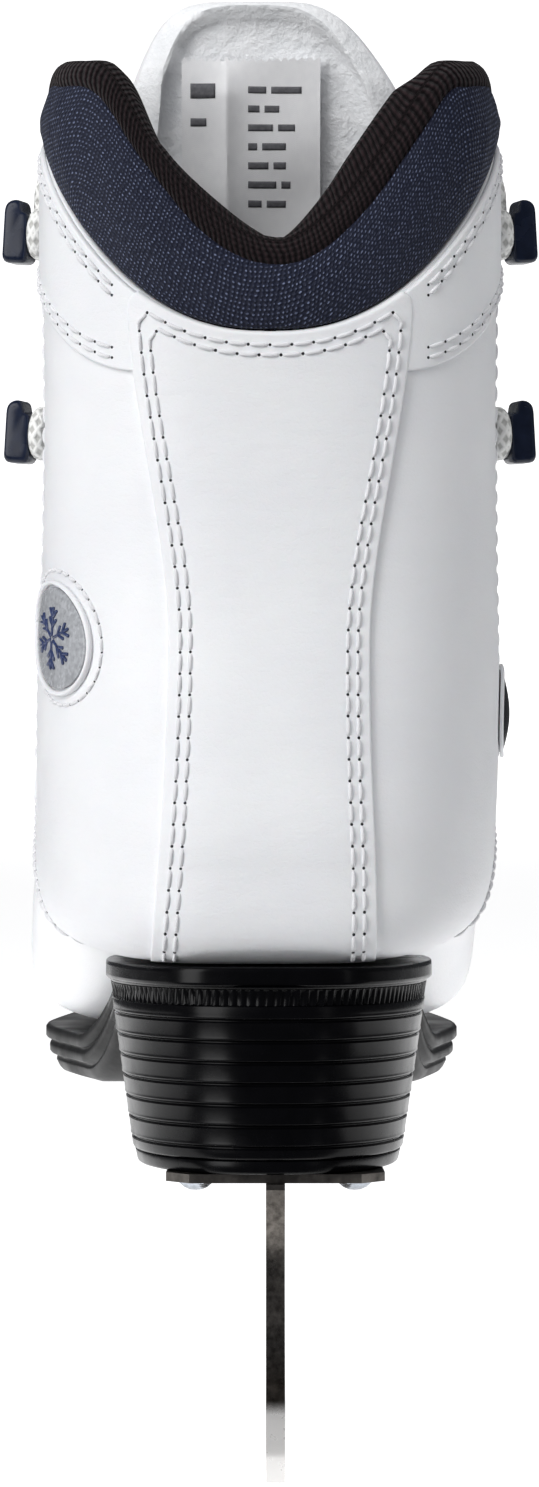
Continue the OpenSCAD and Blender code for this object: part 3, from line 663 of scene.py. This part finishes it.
# free ends of the lace: two loops and two tails of the bow
for side, word in ((-1, "left"), (1, "right")):
    path = resample(smooth_path(loop_route(side), 8), 1.2)
    v, f, uv = tube_mesh(path, 1.4, 1.4, 12)
    ob = mesh_object("lace_loop_" + word, v, f, LACE, uv)
    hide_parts("lace_loops")
    path = resample(smooth_path(tail_route(side), 8), 1.2)
    v, f, uv = tube_mesh(path, 1.4, 1.4, 12)
    ob = mesh_object("lace_tail_" + word, v, f, LACE, uv)
    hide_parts("lace_tails")
    r = tail_route(side)
    way = unit(r[9] - r[8])
    tip = np.array([r[9] + way * k for k in np.linspace(-1.5, 15, 12)])
    v, f, uv = tube_mesh(tip, 1.42, 1.42, 16, taper=np.array([1, 1] + [0.9] * 8 + [0.86, 0.75]))
    end = mesh_object("aglet_" + word, v, f, AGLET, uv)
    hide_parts("aglets")

# the lace as it is held by the boot, and the knot
bar = [shell(6.02, eye_u(3) + (360 - 2 * eye_u(3)) * k / 6, 3.95) for k in range(1, 6)]
route = smooth_path(lace_route(1, True)[::-1] + bar + lace_route(-1, False), 5)
v, f, uv = tube_mesh(resample(route, 1.0), 1.4, 1.4, 12)
LACE_LENGTH = path_length(route)
ob = mesh_object("lace_held", v, f, LACE, uv)
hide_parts("lace")


def torus_knot():
    c = shell(1.62, 180, -5.4)
    parts = []
    for tilt, rx, rz, off in ((0.5, 3.3, 2.4, 0.2), (-0.6, 3.2, 2.3, -0.6), (0.05, 1.9, 3.0, -1.2)):
        a = np.linspace(0, 2 * np.pi, 40)
        ring = np.stack([rx * np.cos(a), off + 0.9 * np.sin(2 * a), rz * np.sin(a)], 1)
        ct, st_ = math.cos(tilt), math.sin(tilt)
        ring = ring @ np.array([[ct, 0, st_], [0, 1, 0], [-st_, 0, ct]])
        parts.append(tube_mesh(ring + c, 1.35, 1.35, 12, up=[0, 1, 0]))
    return join_meshes(parts)


v, f, uv = torus_knot()
ob = mesh_object("lace_bow_knot", v, f, LACE, uv)
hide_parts("lace_knot")


# ---------------------------------------------------------------- white upper
def quarter_grid(side):
    def grid(a, b):
        k = b if side > 0 else 1 - b
        u0 = 0.6
        sa = 0.92 + (6.4 - 0.92) * a
        ue = np.where(a < 2, front_edge(sa), 0) - 0.6
        u = u0 + (ue - u0) * k
        s0 = np.where(u < 97, quarter_top(u), 0.92) + 0.02
        s1 = quarter_low(u)
        return s0 + (s1 - s0) * a, side * u
    return grid


def eyestay_grid(side):
    def grid(a, b):
        k = b if side > 0 else 1 - b
        s1c = float(quarter_low(105))
        sa = 0.92 + (s1c - 0.92) * a
        u = 97.8 + (front_edge(sa) - 97.8) * k
        return 0.92 + (quarter_low(u) - 0.02 - 0.92) * a, side * u
    return grid


for side, word in ((-1, "left"), (1, "right")):
    q = panel("quarter_skin_" + word, quarter_grid(side), 46, 52, 0, 1.3, LEATHER, 0.7, (130, 115))
    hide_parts("quarter_" + word)
    e = panel("eyestay_skin_" + word, eyestay_grid(side), 44, 14, -0.85, -0.05, LEATHER, 0.7, (120, 22))
    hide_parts("eyestay_" + word)

    def facing_grid(a, b, side=side):
        k = b if side > 0 else 1 - b
        u = 25 + (97.2 - 25) * k
        s0 = quarter_top(u) + 0.04
        return s0 + (facing_low(u) - s0) * a, side * u
    c = panel("facing_skin_" + word, facing_grid, 14, 36, -0.85, -0.1, LEATHER, 0.6, (20, 60))
    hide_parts("collar_facing_" + word)


def stay_grid(a, b):
    s = 2.22 + (7.18 - 2.22) * a
    x = stay_half(s) - 2.0 * np.clip(1 - a * 118 / 3.5, 0, 1) ** 2
    u = angle_at(s, x) * (2 * b - 1)
    return s - (2.2 - quarter_top(u)) * (1 - a), u


ob = panel("backstay_skin", stay_grid, 60, 18, -1.05, -0.1, LEATHER, 0.7, (118, 38))
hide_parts("backstay")


def vamp_grid(a, b):
    u = 14 + 332 * b
    s0 = quarter_low(u) + 0.02
    return s0 + (14.98 - s0) * a, u


ob = panel("vamp_skin", vamp_grid, 60, 72, 0.25, 1.5, LEATHER, 0.8, (150, 200))
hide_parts("vamp")

# ---------------------------------------------------------------- collar, linings, tongue
def pad_grid(a, b):
    u = -120 + 240 * b
    s0 = collar_top(u) + 0.17
    s1 = quarter_top(u) + 0.01
    return s0 + (s1 - s0) * a, u


def pad_bulge(a, b, s, u):
    e = np.sin(np.pi * np.clip(a, 0, 1)) ** 0.7
    pull = 0.12 * np.sin(u * 0.55) * np.sin(3.1 * np.pi * a) + 0.1 * np.sin(u * 0.21 + 1.3)
    return e * (1.25 + pull)


ob = panel("collar_mesh_pad", pad_grid, 22, 120, 0.1, 3.2, NAVY, 0.9, (12, 190), shape=pad_bulge)
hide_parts("collar_pad")

ring_u = np.linspace(-119, 119, 200)
section = [(-0.02, 1.2), (-0.04, 2.9), (0.02, 4.6), (0.10, 5.2), (0.19, 5.0), (0.21, 3.4), (0.2, 1.2), (0.17, 0.2), (0.1, -0.15), (0.03, 0.3)]
sec = smooth_path(np.array([(a, b, 0) for a, b in section + section[:1]]), 3)[:-1, :2]
rings = []
for u in ring_u:
    wob = 1 + 0.05 * math.sin(u * 0.35)
    inner = 0.15 + 0.85 * sm(sec[:, 1] / 4.2)
    lift = (float(roll_rise(u)) + 0.035) * np.clip((0.19 - sec[:, 0]) / 0.2, 0, 1) ** 0.6 * inner
    rings.append(shell(collar_top(u) + 0.035 + sec[:, 0] * wob - lift, u, sec[:, 1] * roll_swell(u)))
v, f, uv = stack_mesh(rings)
m_ = len(sec)
alongu = np.concatenate([[0], np.cumsum([np.linalg.norm(rings[i + 1][3] - rings[i][3]) for i in range(len(rings) - 1)])])
aroundv = np.concatenate([[0], np.cumsum(np.linalg.norm(np.diff(rings[100], axis=0), axis=1))])
uv = np.array([(alongu[i], aroundv[j]) for i in range(len(rings)) for j in range(m_)])
ob = mesh_object("collar_ribbed_roll", v, f, RIB, uv, sharp=70)
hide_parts("collar_roll")


def lining_grid(a, b):
    u = -119 + 238 * b
    s0 = collar_top(u) + 0.21
    return s0 + (7.1 - s0) * a, u


ob = panel("shaft_lining_knit", lining_grid, 40, 60, 3.5, 5.0, RIB, 0.5, (140, 180))
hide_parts("shaft_lining")
ob = panel("foot_lining_textile", lambda a, b: (7.1 + 6.7 * a, 44.5 + 271 * b), 26, 48, 3.4, 4.8, LINING, 0.5, (120, 190))
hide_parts("foot_lining")

HINGE_S = 1.12


def tongue_grid(a, b):
    v = 2 * b - 1
    k = np.clip(a / 0.17, 0, 1)
    s0 = -0.18 + 0.8 * v ** 2
    low = 7.5
    s = s0 + (low - s0) * (a * 0.9 + 0.1 * a ** 2)
    up = np.clip((HINGE_S + 0.3 - s) / 1.5, 0, 1)
    w = 31 + 14 * (1 - up) - 1.9 * np.clip(s - 1.4, 0, 9) * 1.5
    return s, 180 + np.maximum(w, 22) * v, 0 * a, -3 * sm((HINGE_S - s) / 1.2)


A, B = refined(70, 0.012), refined(44, 0.03)
a, b = np.meshgrid(A, B, indexing="ij")
s, u, _, dx = tongue_grid(a, b)
edge = np.minimum(np.minimum(a * 150, 99), np.minimum(b, 1 - b) * 55)
hem = np.clip(edge / 2.2, 0, 1)
rnd = 1.7 * (1 - np.sqrt(1 - (1 - hem) ** 2))
lip = 2.6 * np.exp(-((edge - 3.4) / 2.3) ** 2) * np.clip((2.2 - s) / 1.5, 0, 1)
lump = 0.25 * np.sin(u * 0.33 + 2) * np.sin(s * 3.1)
top = shell(s, u, 5.6 + rnd)
low = shell(s, u, 9.0 + lip - rnd + lump * np.clip(edge / 8, 0, 1))
top[..., 0] += dx
low[..., 0] += dx
v, f = sheet_mesh(top, low)
uv = arc_uv(low).reshape(-1, 2)
tongue = mesh_object("tongue_padded", v, f, FLEECE, np.concatenate([uv, uv]), body=None, sharp=60)
tongue.data.materials.append(LEATHER)
nface = (len(A) - 1) * (len(B) - 1)
idx = np.zeros(len(tongue.data.polygons), np.int32)
idx[:nface] = 1
tongue.data.polygons.foreach_set("material_index", idx)
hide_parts("tongue_lower", "tongue_upper")
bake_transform(tongue)


def label_point(x, z, lift):
    """On the tongue's inner side, lift mm off it."""
    s = np.interp(z, [181.7, 203.6, 226, 250.5], [3, 2, 1, 0])
    for _ in range(3):
        p = shell(s, front_angle(s, x, 9), 9)
        s = s + (p[..., 2] - z) / 23
    p = shell(s, front_angle(s, x - 0.9, 9), 9)
    p[..., 0] = x
    p[..., 1] -= lift
    return p


xs = np.unique(np.concatenate([np.linspace(-16.5, 8, 50), [-9.6, -8.8, -8.0]]))
zs = np.linspace(246, 211.5, 46)
Z, X = np.meshgrid(zs, xs, indexing="ij")
ridge = 2.2 * np.exp(-np.abs(X + 8.6) / 2.6) * np.clip((246 - Z) / 6, 0, 1)
wave = 0.35 * np.sin(Z * 0.28) * np.sin(X * 0.22 + 1) + 0.3 * np.clip((222 - Z) / 10, 0, 1) * (X + 4) ** 2 / 40
lift = 2.1 + ridge + wave + 0.35
Zj = Z + 0.35 * np.sign(np.sin(X * 4.2)) * (Z > 245.5)
low = label_point(X, Zj, lift - 0.25)
top = label_point(X, Zj, lift + 0.1)
v, f = sheet_mesh(low, top)
uv = arc_uv(top).reshape(-1, 2)
label = mesh_object("care_label", v, f, LABEL, np.concatenate([uv, uv]), body=None, sharp=50)
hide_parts("tongue_label")
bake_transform(label)


def label_bar(x0, x1, z0, z1):
    z, x = np.meshgrid(np.linspace(z1, z0, 4), np.linspace(x0, x1, 10), indexing="ij")
    fold_up = 2.2 * np.exp(-np.abs(x + 8.6) / 2.6) * np.clip((246 - z) / 6, 0, 1)
    drift = 0.35 * np.sin(z * 0.28) * np.sin(x * 0.22 + 1) + 0.3 * np.clip((222 - z) / 10, 0, 1) * (x + 4) ** 2 / 40
    v, f = sheet_mesh(label_point(x, z, 2.49 + fold_up + drift), label_point(x, z, 2.62 + fold_up + drift))
    return v, f, np.zeros((len(v), 2))


bars = [(-15, -10.6, 239.2, 241.8), (-15, -12.2, 234.4, 235.8)]
for line, (first, second) in enumerate([(3.2, 5.4), (2.0, 2.6), (4.4, 3.0), (1.6, 4.2), (3.6, 2.2), (5.0, 1.6), (2.4, 3.4)]):
    z = 241.4 - 3.3 * line
    bars += [(-4.8, -4.8 + first, z - 1.2, z), (-3.9 + first, -3.9 + first + second, z - 1.2, z)]
v, f, uv = join_meshes([label_bar(*q) for q in bars])
ob = mesh_object("label_bars", v, f, INK, uv, body=None)
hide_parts("tongue_label")
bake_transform(ob)


# ---------------------------------------------------------------- badges
def badge(word, side, sc, uc, du):
    ds = 0.36
    turn = 1 if side > 0 else -1

    def disc(a, b):
        p, q = 2 * a - 1, (2 * b - 1) * turn
        return sc + ds * p * np.sqrt(1 - q * q / 2), side * (uc + du * q * np.sqrt(1 - p * p / 2))
    # the right badge's plate takes the black heel plastic instead of the grey badge finish: painted shade for its dark
    # face seen edge-on
    ob = panel("badge_plate_" + word, disc, 18, 18, -0.75, -0.1, BADGE if side < 0 else BLACK, 0.4, (18, 20),
               shape=lambda a, b, s, u: (0.25 if side < 0 else 1.1) * np.sin(np.pi * a) * np.sin(np.pi * b))
    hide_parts("badge_" + word)

    def at(x, y, h):
        return shell(sc - ds * y, side * (uc + du * x), -h)
    t = np.linspace(0, 2 * np.pi, 73)
    rim = np.array([at(1.1 * math.cos(k), 1.1 * math.sin(k), 0.6) for k in t])
    v, f, uv = tube_mesh(rim, 0.6 if side < 0 else 0.35, 0.42 if side < 0 else 0.3, 12, up=list(outward(sc, side * (uc + du))))
    ob = mesh_object("badge_rim_" + word, v, f, LEATHER, uv)
    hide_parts("badge_rim_" + word)
    parts = []
    for arm in range(6):
        c, s = math.cos(math.pi / 3 * arm + 0.52), math.sin(math.pi / 3 * arm + 0.52)
        lines = [[(0.06, 0), (0.62, 0)]] + [[(r, 0), (r + 0.16, w)] for r in (0.24, 0.42) for w in (-0.13, 0.13)]
        for line in lines:
            ends = [at(x * c - y * s, x * s + y * c, 1.0) for x, y in line]
            parts.append(tube_mesh(resample(np.array(ends), 1.0), 0.3, 0.3, 8))
    v, f, uv = join_meshes(parts)
    ob = mesh_object("badge_crystal_" + word, v, f, NAVY_INK, uv)
    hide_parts("badge_" + word)


badge("left", -1, 4.45, 61.5, 16)
badge("right", 1, 5.33, 87, 7)


# ---------------------------------------------------------------- hooks
def fillet(pts, r, n=5):
    pts = [np.array(q, float) for q in pts]
    out = []
    for i, q in enumerate(pts):
        a, b = pts[i - 1] - q, pts[(i + 1) % len(pts)] - q
        la, lb = np.linalg.norm(a), np.linalg.norm(b)
        p0, p1 = q + a / la * min(r, la * 0.45), q + b / lb * min(r, lb * 0.45)
        out += [(1 - k) ** 2 * p0 + 2 * k * (1 - k) * q + k * k * p1 for k in np.linspace(0, 1, n)]
    return np.array(out)


def lathe(profile, base, n, up, side, sides=40):
    ang = np.linspace(0, 2 * np.pi, sides, endpoint=False)
    rings = [base + n * h + r * (np.cos(ang)[:, None] * up + np.sin(ang)[:, None] * side) for r, h in profile]
    return stack_mesh(rings)


def hook(word, side, s):
    n = outward(s, side * HOOK_U)
    up = unit(np.array([0, 0, 1.0]) - n * n[2])
    y = np.cross(up, n)
    base = off(s, side * HOOK_U, 0.5)
    prof = fillet([(-5.6, 3.7), (-5.6, 8.3), (4.5, 8.3), (5.6, 7.2), (5.6, 5.4), (3.4, 5.1), (3.2, 3.7)], 1.3)
    mid = prof.mean(0)
    rings = []
    for w, k in ((-3.4, 0.72), (-3.36, 0.84), (-3.2, 0.92), (-2.85, 0.975), (-2.3, 1), (2.3, 1), (2.85, 0.975),
                 (3.2, 0.92), (3.36, 0.84), (3.4, 0.72)):
        q = mid + (prof - mid) * k
        rings.append(base + up * q[:, :1] + n * q[:, 1:] + y * w)
    v, f, uv = stack_mesh(rings)
    ob = mesh_object("hook_head_" + word, v, f, HOOK, uv, sharp=50)
    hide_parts("hook_" + word)
    v, f, uv = lathe([(0.1, 0), (3.5, 0), (3.75, 0.2), (3.7, 0.55), (3.3, 0.7), (1.9, 0.8), (1.65, 1.3), (1.65, 4.4), (0.1, 4.4)],
                     base, n, up, y)
    ob = mesh_object("hook_foot_" + word, v, f, ZINC, uv, sharp=35)
    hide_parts("hook_" + word)


for side, word in ((-1, "left"), (1, "right")):
    hook("upper_" + word, side, HOOK_S[0])
    hook("lower_" + word, side, HOOK_S[1])


# ---------------------------------------------------------------- heel and outsole
SEAT_BOTTOM, HEEL_BOTTOM = SEAT - 3.2, SEAT - 34.9
HALF = [33, 32.8, 28, 34, 41, 41, 31]
MID = [-1.1, -1.1, -1.5, -3.2, -4.5, -4.6, -4.2]


def heel_ring(z, inset, n=360, tick=0.0):
    f = (SEAT_BOTTOM - z) / (SEAT_BOTTOM - HEEL_BOTTOM)
    t = -2 * np.pi * np.arange(n) / n
    c, s = np.cos(t), np.sin(t)

    def ring(cut):
        w = 27.7 - 4.6 * f - cut
        x = -1.15 - 0.15 * f + w * spow(s, np.where(c < 0, 0.85, 0.35))
        y = -53 + np.where(c < 0, 42 - 4 * f - cut, 15 - 5 * f - cut) * spow(c, np.where(c < 0, 0.92, 0.35))
        return np.stack([x, y, np.full(n, z)], 1)
    r = ring(inset)
    if tick:
        d = np.concatenate([[0], np.cumsum(np.linalg.norm(np.diff(r, axis=0), axis=1))])
        notch = np.clip(1.6 * np.cos(2 * np.pi * d / 1.55), -1, 1) * 0.5 + 0.5
        r = r * (1 - notch[:, None]) + ring(inset + tick) * notch[:, None]
    return r


steps = [(HEEL_BOTTOM + 2.5, 0.35), (HEEL_BOTTOM + 2.62, 0.12), (HEEL_BOTTOM + 2.9, 0)]
for i in range(6, -1, -1):
    z = SEAT - 8.9 - 3.57 * i
    steps += [(z + dz, cut) for dz, cut in ((-0.75, 0), (-0.42, 0), (-0.32, 0.25), (-0.14, 0.5), (0.08, 0.5), (0.24, 0.25),
                                            (0.32, -0.04), (0.42, -0.1), (0.6, -0.06), (1.0, 0))]
steps += [(SEAT_BOTTOM - 3.45, 0), (SEAT_BOTTOM - 3.32, 0.1), (SEAT_BOTTOM - 3.25, 0.3)]
rings = [heel_ring(z, cut, 960) for z, cut in steps]
rings += [heel_ring(SEAT_BOTTOM - dz, 0.12, 960, tick) for dz, tick in ((3.2, 0.05), (3.0, 0.35), (0.75, 0.35), (0.55, 0.05))]
rings += [heel_ring(SEAT_BOTTOM - dz, cut, 960) for dz, cut in ((0.5, 0.3), (0.3, 0.1), (0.0, 0))]
v, f, uv = stack_mesh(rings)
ob = mesh_object("heel_block", v, f, BLACK, uv, sharp=60)
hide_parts("heel")
v, f, uv = stack_mesh([heel_ring(HEEL_BOTTOM + dz, cut) for dz, cut in
                       ((0, 0.95), (0.08, 0.7), (0.25, 0.5), (0.5, 0.42), (2.1, 0.32), (2.25, 0.4), (2.3, 0.55))])
ob = mesh_object("heel_top_lift", v, f, BLACK, uv, sharp=60)
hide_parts("heel_lift")


def along(values, v):
    values = np.array(values, float)
    n = len(values) - 1
    i = np.minimum(n - 1, np.floor(v * n)).astype(int)
    at = lambda k: values[np.clip(k, 0, n)]
    return blend4(at(i - 1), at(i), at(i + 1), at(i + 2), v * n - i)


def sole_ring(inset, h, n=300):
    t = 2 * np.pi * np.arange(n) / n
    v = (1 - np.cos(t)) / 2

    def lay(cut):
        y = -95 + cut + v * (214 - 2 * cut)
        x = along(MID, v) + (along(HALF, v) - cut) * spow(np.sin(t), 0.5)
        return x, y
    y0 = lay(inset)[1]
    drop = 1 - sm((y0 + 40) / 52)
    cut = inset * (1 - drop) + 0.25 * drop * (1 + 1.5 * max(0, h - 0.9) * 10 + 1.2 * max(0, 0.08 - h) * 12)
    x, y = lay(cut)
    drop = 1 - sm((y + 40) / 52)
    spring = np.maximum(0, (y - 62) / 55) ** 2
    hi = TREAD + (SEAT - TREAD) * drop + 4.5 * spring
    lo = TREAD - SOLE + (SEAT_BOTTOM - TREAD + SOLE) * drop + 7 * spring
    return np.stack([x, y, hi + (lo - hi) * h], 1)


profile = [(1.3, 0), (0.5, 0.015), (0.2, 0.06), (0.2, 0.24), (0.5, 0.28), (1.35, 0.31), (1.4, 0.36), (1.05, 0.4), (0.95, 0.44),
           (1.0, 0.56), (1.3, 0.6), (2.5, 0.635), (2.6, 0.68), (2.4, 0.72), (2.35, 0.76), (2.9, 0.88), (3.5, 0.95), (5, 1)]
v, f, uv = stack_mesh([sole_ring(cut, h) for cut, h in profile])
ob = mesh_object("outsole_unit", v, f, RUBBER, uv, sharp=60)
ob.data.materials.append(BLACK)
for poly in ob.data.polygons:
    poly.material_index = 1 if poly.center[1] < -0.012 else 0
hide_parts("outsole")
ob = panel("insole_textile", lambda a, b: (7.2 + 5.6 * a, -40 + 80 * b), 30, 20, 6.3, 11, LINING, 0.6, (110, 50))
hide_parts("insole")


# ---------------------------------------------------------------- hard parts kept from the CAD
def cad_finish(names, mat):
    for name in names:
        ob = NODES[name]
        ob.data.materials.clear()
        ob.data.materials.append(mat)
        ob.data.polygons.foreach_set("use_smooth", [True] * len(ob.data.polygons))
        ob.modifiers.new("weld", "WELD").merge_threshold = 0.000002
        ob.modifiers.new("edges", "EDGE_SPLIT").split_angle = math.radians(32)


cad_finish(["runner"], BLADE)
cad_finish(["heel_plate", "sole_plate"], PLATE)
cad_finish(["heel_screws", "sole_screws", "eyelets_left", "eyelets_right"], ZINC)
cad_finish(["lasting_board", "heel_counter", "toe_puff"], BOARD)


# ---------------------------------------------------------------- stitching
def stitch_rows(name, rows, height, node, pitch=3.7):
    """Threads along rows of (s, u) points, at that height over the surface, and dark discs of painted shade in their
    needle holes.
    """
    threads, hole_shades = [], []
    ring = np.linspace(0, 2 * np.pi, 8, endpoint=False)
    for s, u in rows:
        s, u = np.broadcast_arrays(np.asarray(s, float), np.asarray(u, float))
        P, N = shell(s, u, -height), outward(s, u)
        d = np.concatenate([[0], np.cumsum(np.linalg.norm(np.diff(P, axis=0), axis=1))])
        count = max(1, int(round(d[-1] / pitch)))
        at = lambda k, src: np.stack([np.interp(k * d[-1] / count, d, src[:, c]) for c in range(3)], -1)
        for k in range(count):
            q = k + np.array([0.13, 0.22, 0.36, 0.5, 0.64, 0.78, 0.87])
            lift = np.array([-0.18, 0.06, 0.17, 0.2, 0.17, 0.06, -0.18])[:, None]
            threads.append(tube_mesh(at(q, P) + at(q, N) * lift, 0.34, 0.3, 8))
            c, n = at(float(k), P), unit(at(float(k), N))
            e = unit(np.cross(n, [0, 0, 1.0]))
            w = np.cross(n, e)
            disc = lambda r, h: c + n * h + r * (np.cos(ring)[:, None] * e + np.sin(ring)[:, None] * w)
            # each needle hole gets a near-black disc sunk into the leather: painted shade for the shadow inside the
            # hole
            hole_shades.append(stack_mesh([disc(0.3, -0.3), disc(0.3, -0.02), disc(0.2, 0.03)]))
    for word, parts, mat in (("thread_", threads, THREAD), ("painted_hole_shade_", hole_shades, HOLE_SHADE)):
        v, f, uv = join_meshes(parts)
        ob = mesh_object(word + name, v, f, mat, uv)
        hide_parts(node)


rows = []
for inset in (2.2, 3.9):
    s = np.linspace(7.1, 2.22 + inset / 25 + 0.1, 90)
    edge = angle_at(s, stay_half(s) - inset)
    corner = 2.22 + inset / 25
    top = np.linspace(-1, 1, 40) * angle_at(corner, stay_half(corner) - inset - 1.6)
    rise = (2.2 - quarter_top(edge)) * (1 - (s - 2.22) / 4.96)
    rows.append((np.concatenate([s - rise, corner + quarter_top(top) - 2.2, (s - rise)[::-1]]),
                 np.concatenate([-edge, top, edge[::-1]])))
stitch_rows("backstay", rows, 1.05, "backstay")
for side, word in ((-1, "left"), (1, "right")):
    u = np.linspace(37, 96.6, 60)
    rows = [(facing_low(u) - k, side * u) for k in (0.075, 0.145)] + [(quarter_top(u) + 0.04 + k, side * u) for k in (0.08, 0.15)]
    stitch_rows("collar_facing_" + word, rows, 0.85, "collar_facing_" + word)
    v = np.linspace(0.02, 0.98, 60)
    rows = []
    for k in (2.4, 4.9):
        sa = 0.92 + (6.3 - 0.92) * v
        rows.append((sa, side * (front_edge(sa) - k)))
    rows.append((sa, side * (97.8 + 2.2 + 0 * sa)))
    stitch_rows("eyestay_" + word, rows, 0.85, "eyestay_" + word)
    u = np.linspace(24, 100, 80)
    rows = [(quarter_low(u) - k, side * u) for k in (0.09, 0.17)]
    stitch_rows("quarter_" + word, rows, 0.0, "quarter_" + word)
t = np.linspace(0, 2 * np.pi, 90)
stitch_rows("badge_left", [(4.45 + 0.36 * 1.34 * np.sin(t), -61.5 - 16 * 1.34 * np.cos(t))], 0.0, "badge_rim_left", 2.6)


# ---------------------------------------------------------------- studio
def stage_mesh(name, verts, faces, mat):
    ob = mesh_object(name, np.array(verts) * 1000, faces, mat, smooth=False, body=None)
    return ob


def backdrop(name, glow):
    m, nt, p = new_mat(name)
    n = noise(nt, coords(nt), 3, 2)
    link(nt, ramp(nt, n, [(0.3, (0.86, 0.86, 0.86)), (0.7, (0.88, 0.88, 0.88))]), p.inputs["Base Color"])
    p.inputs["Roughness"].default_value = 0.9
    p.inputs["Emission Color"].default_value = (1, 1, 1, 1)
    p.inputs["Emission Strength"].default_value = glow
    return m


stage_mesh("floor", [(-0.7, -0.12, 0), (0.7, -0.12, 0), (0.7, 7, 0), (-0.7, 7, 0)], [(0, 1, 2, 3)], backdrop("floor_paper", 0.85))
stage_mesh("wall", [(-0.7, 7, 0), (0.7, 7, 0), (0.7, 7, 1.6), (-0.7, 7, 1.6)], [(0, 1, 2, 3)], backdrop("wall_paper", 1.0))


def area_light(name, place, aim, wide, tall, radiance, glossy=True, tint=(1, 1, 1)):
    data = bpy.data.lights.new(name, "AREA")
    data.shape = "RECTANGLE"
    data.size, data.size_y = wide, tall
    data.energy = radiance * math.pi * wide * tall
    data.color = tint
    ob = bpy.data.objects.new(name, data)
    scene.collection.objects.link(ob)
    ob.location = place
    ob.rotation_euler = (Vector(aim) - Vector(place)).to_track_quat("-Z", "Y").to_euler()
    ob.visible_glossy = glossy
    return ob


area_light("key", (-0.95, -0.95, 0.45), (0, -0.05, 0.13), 0.7, 1.4, 4.3)
area_light("front", (-0.5, -1.25, 1.15), (0, 0, 0.15), 1.3, 0.8, 3.6, False)
area_light("fill", (1.3, -0.55, 0.4), (0, 0, 0.13), 0.8, 1.2, 1.9, False)
area_light("edge", (1.0, -1.0, 0.4), (0, 0, 0.13), 0.12, 1.2, 0.9)
area_light("top", (0, 0.1, 1.3), (0, 0, 0.1), 1.2, 1.2, 1.0, False)
world = bpy.data.worlds.new("studio")
scene.world = world
world.use_nodes = True
world.node_tree.nodes["Background"].inputs["Color"].default_value = (0.9, 0.93, 1, 1)
world.node_tree.nodes["Background"].inputs["Strength"].default_value = 0.1
scene.view_settings.view_transform = "Standard"
scene.view_settings.look = "None"
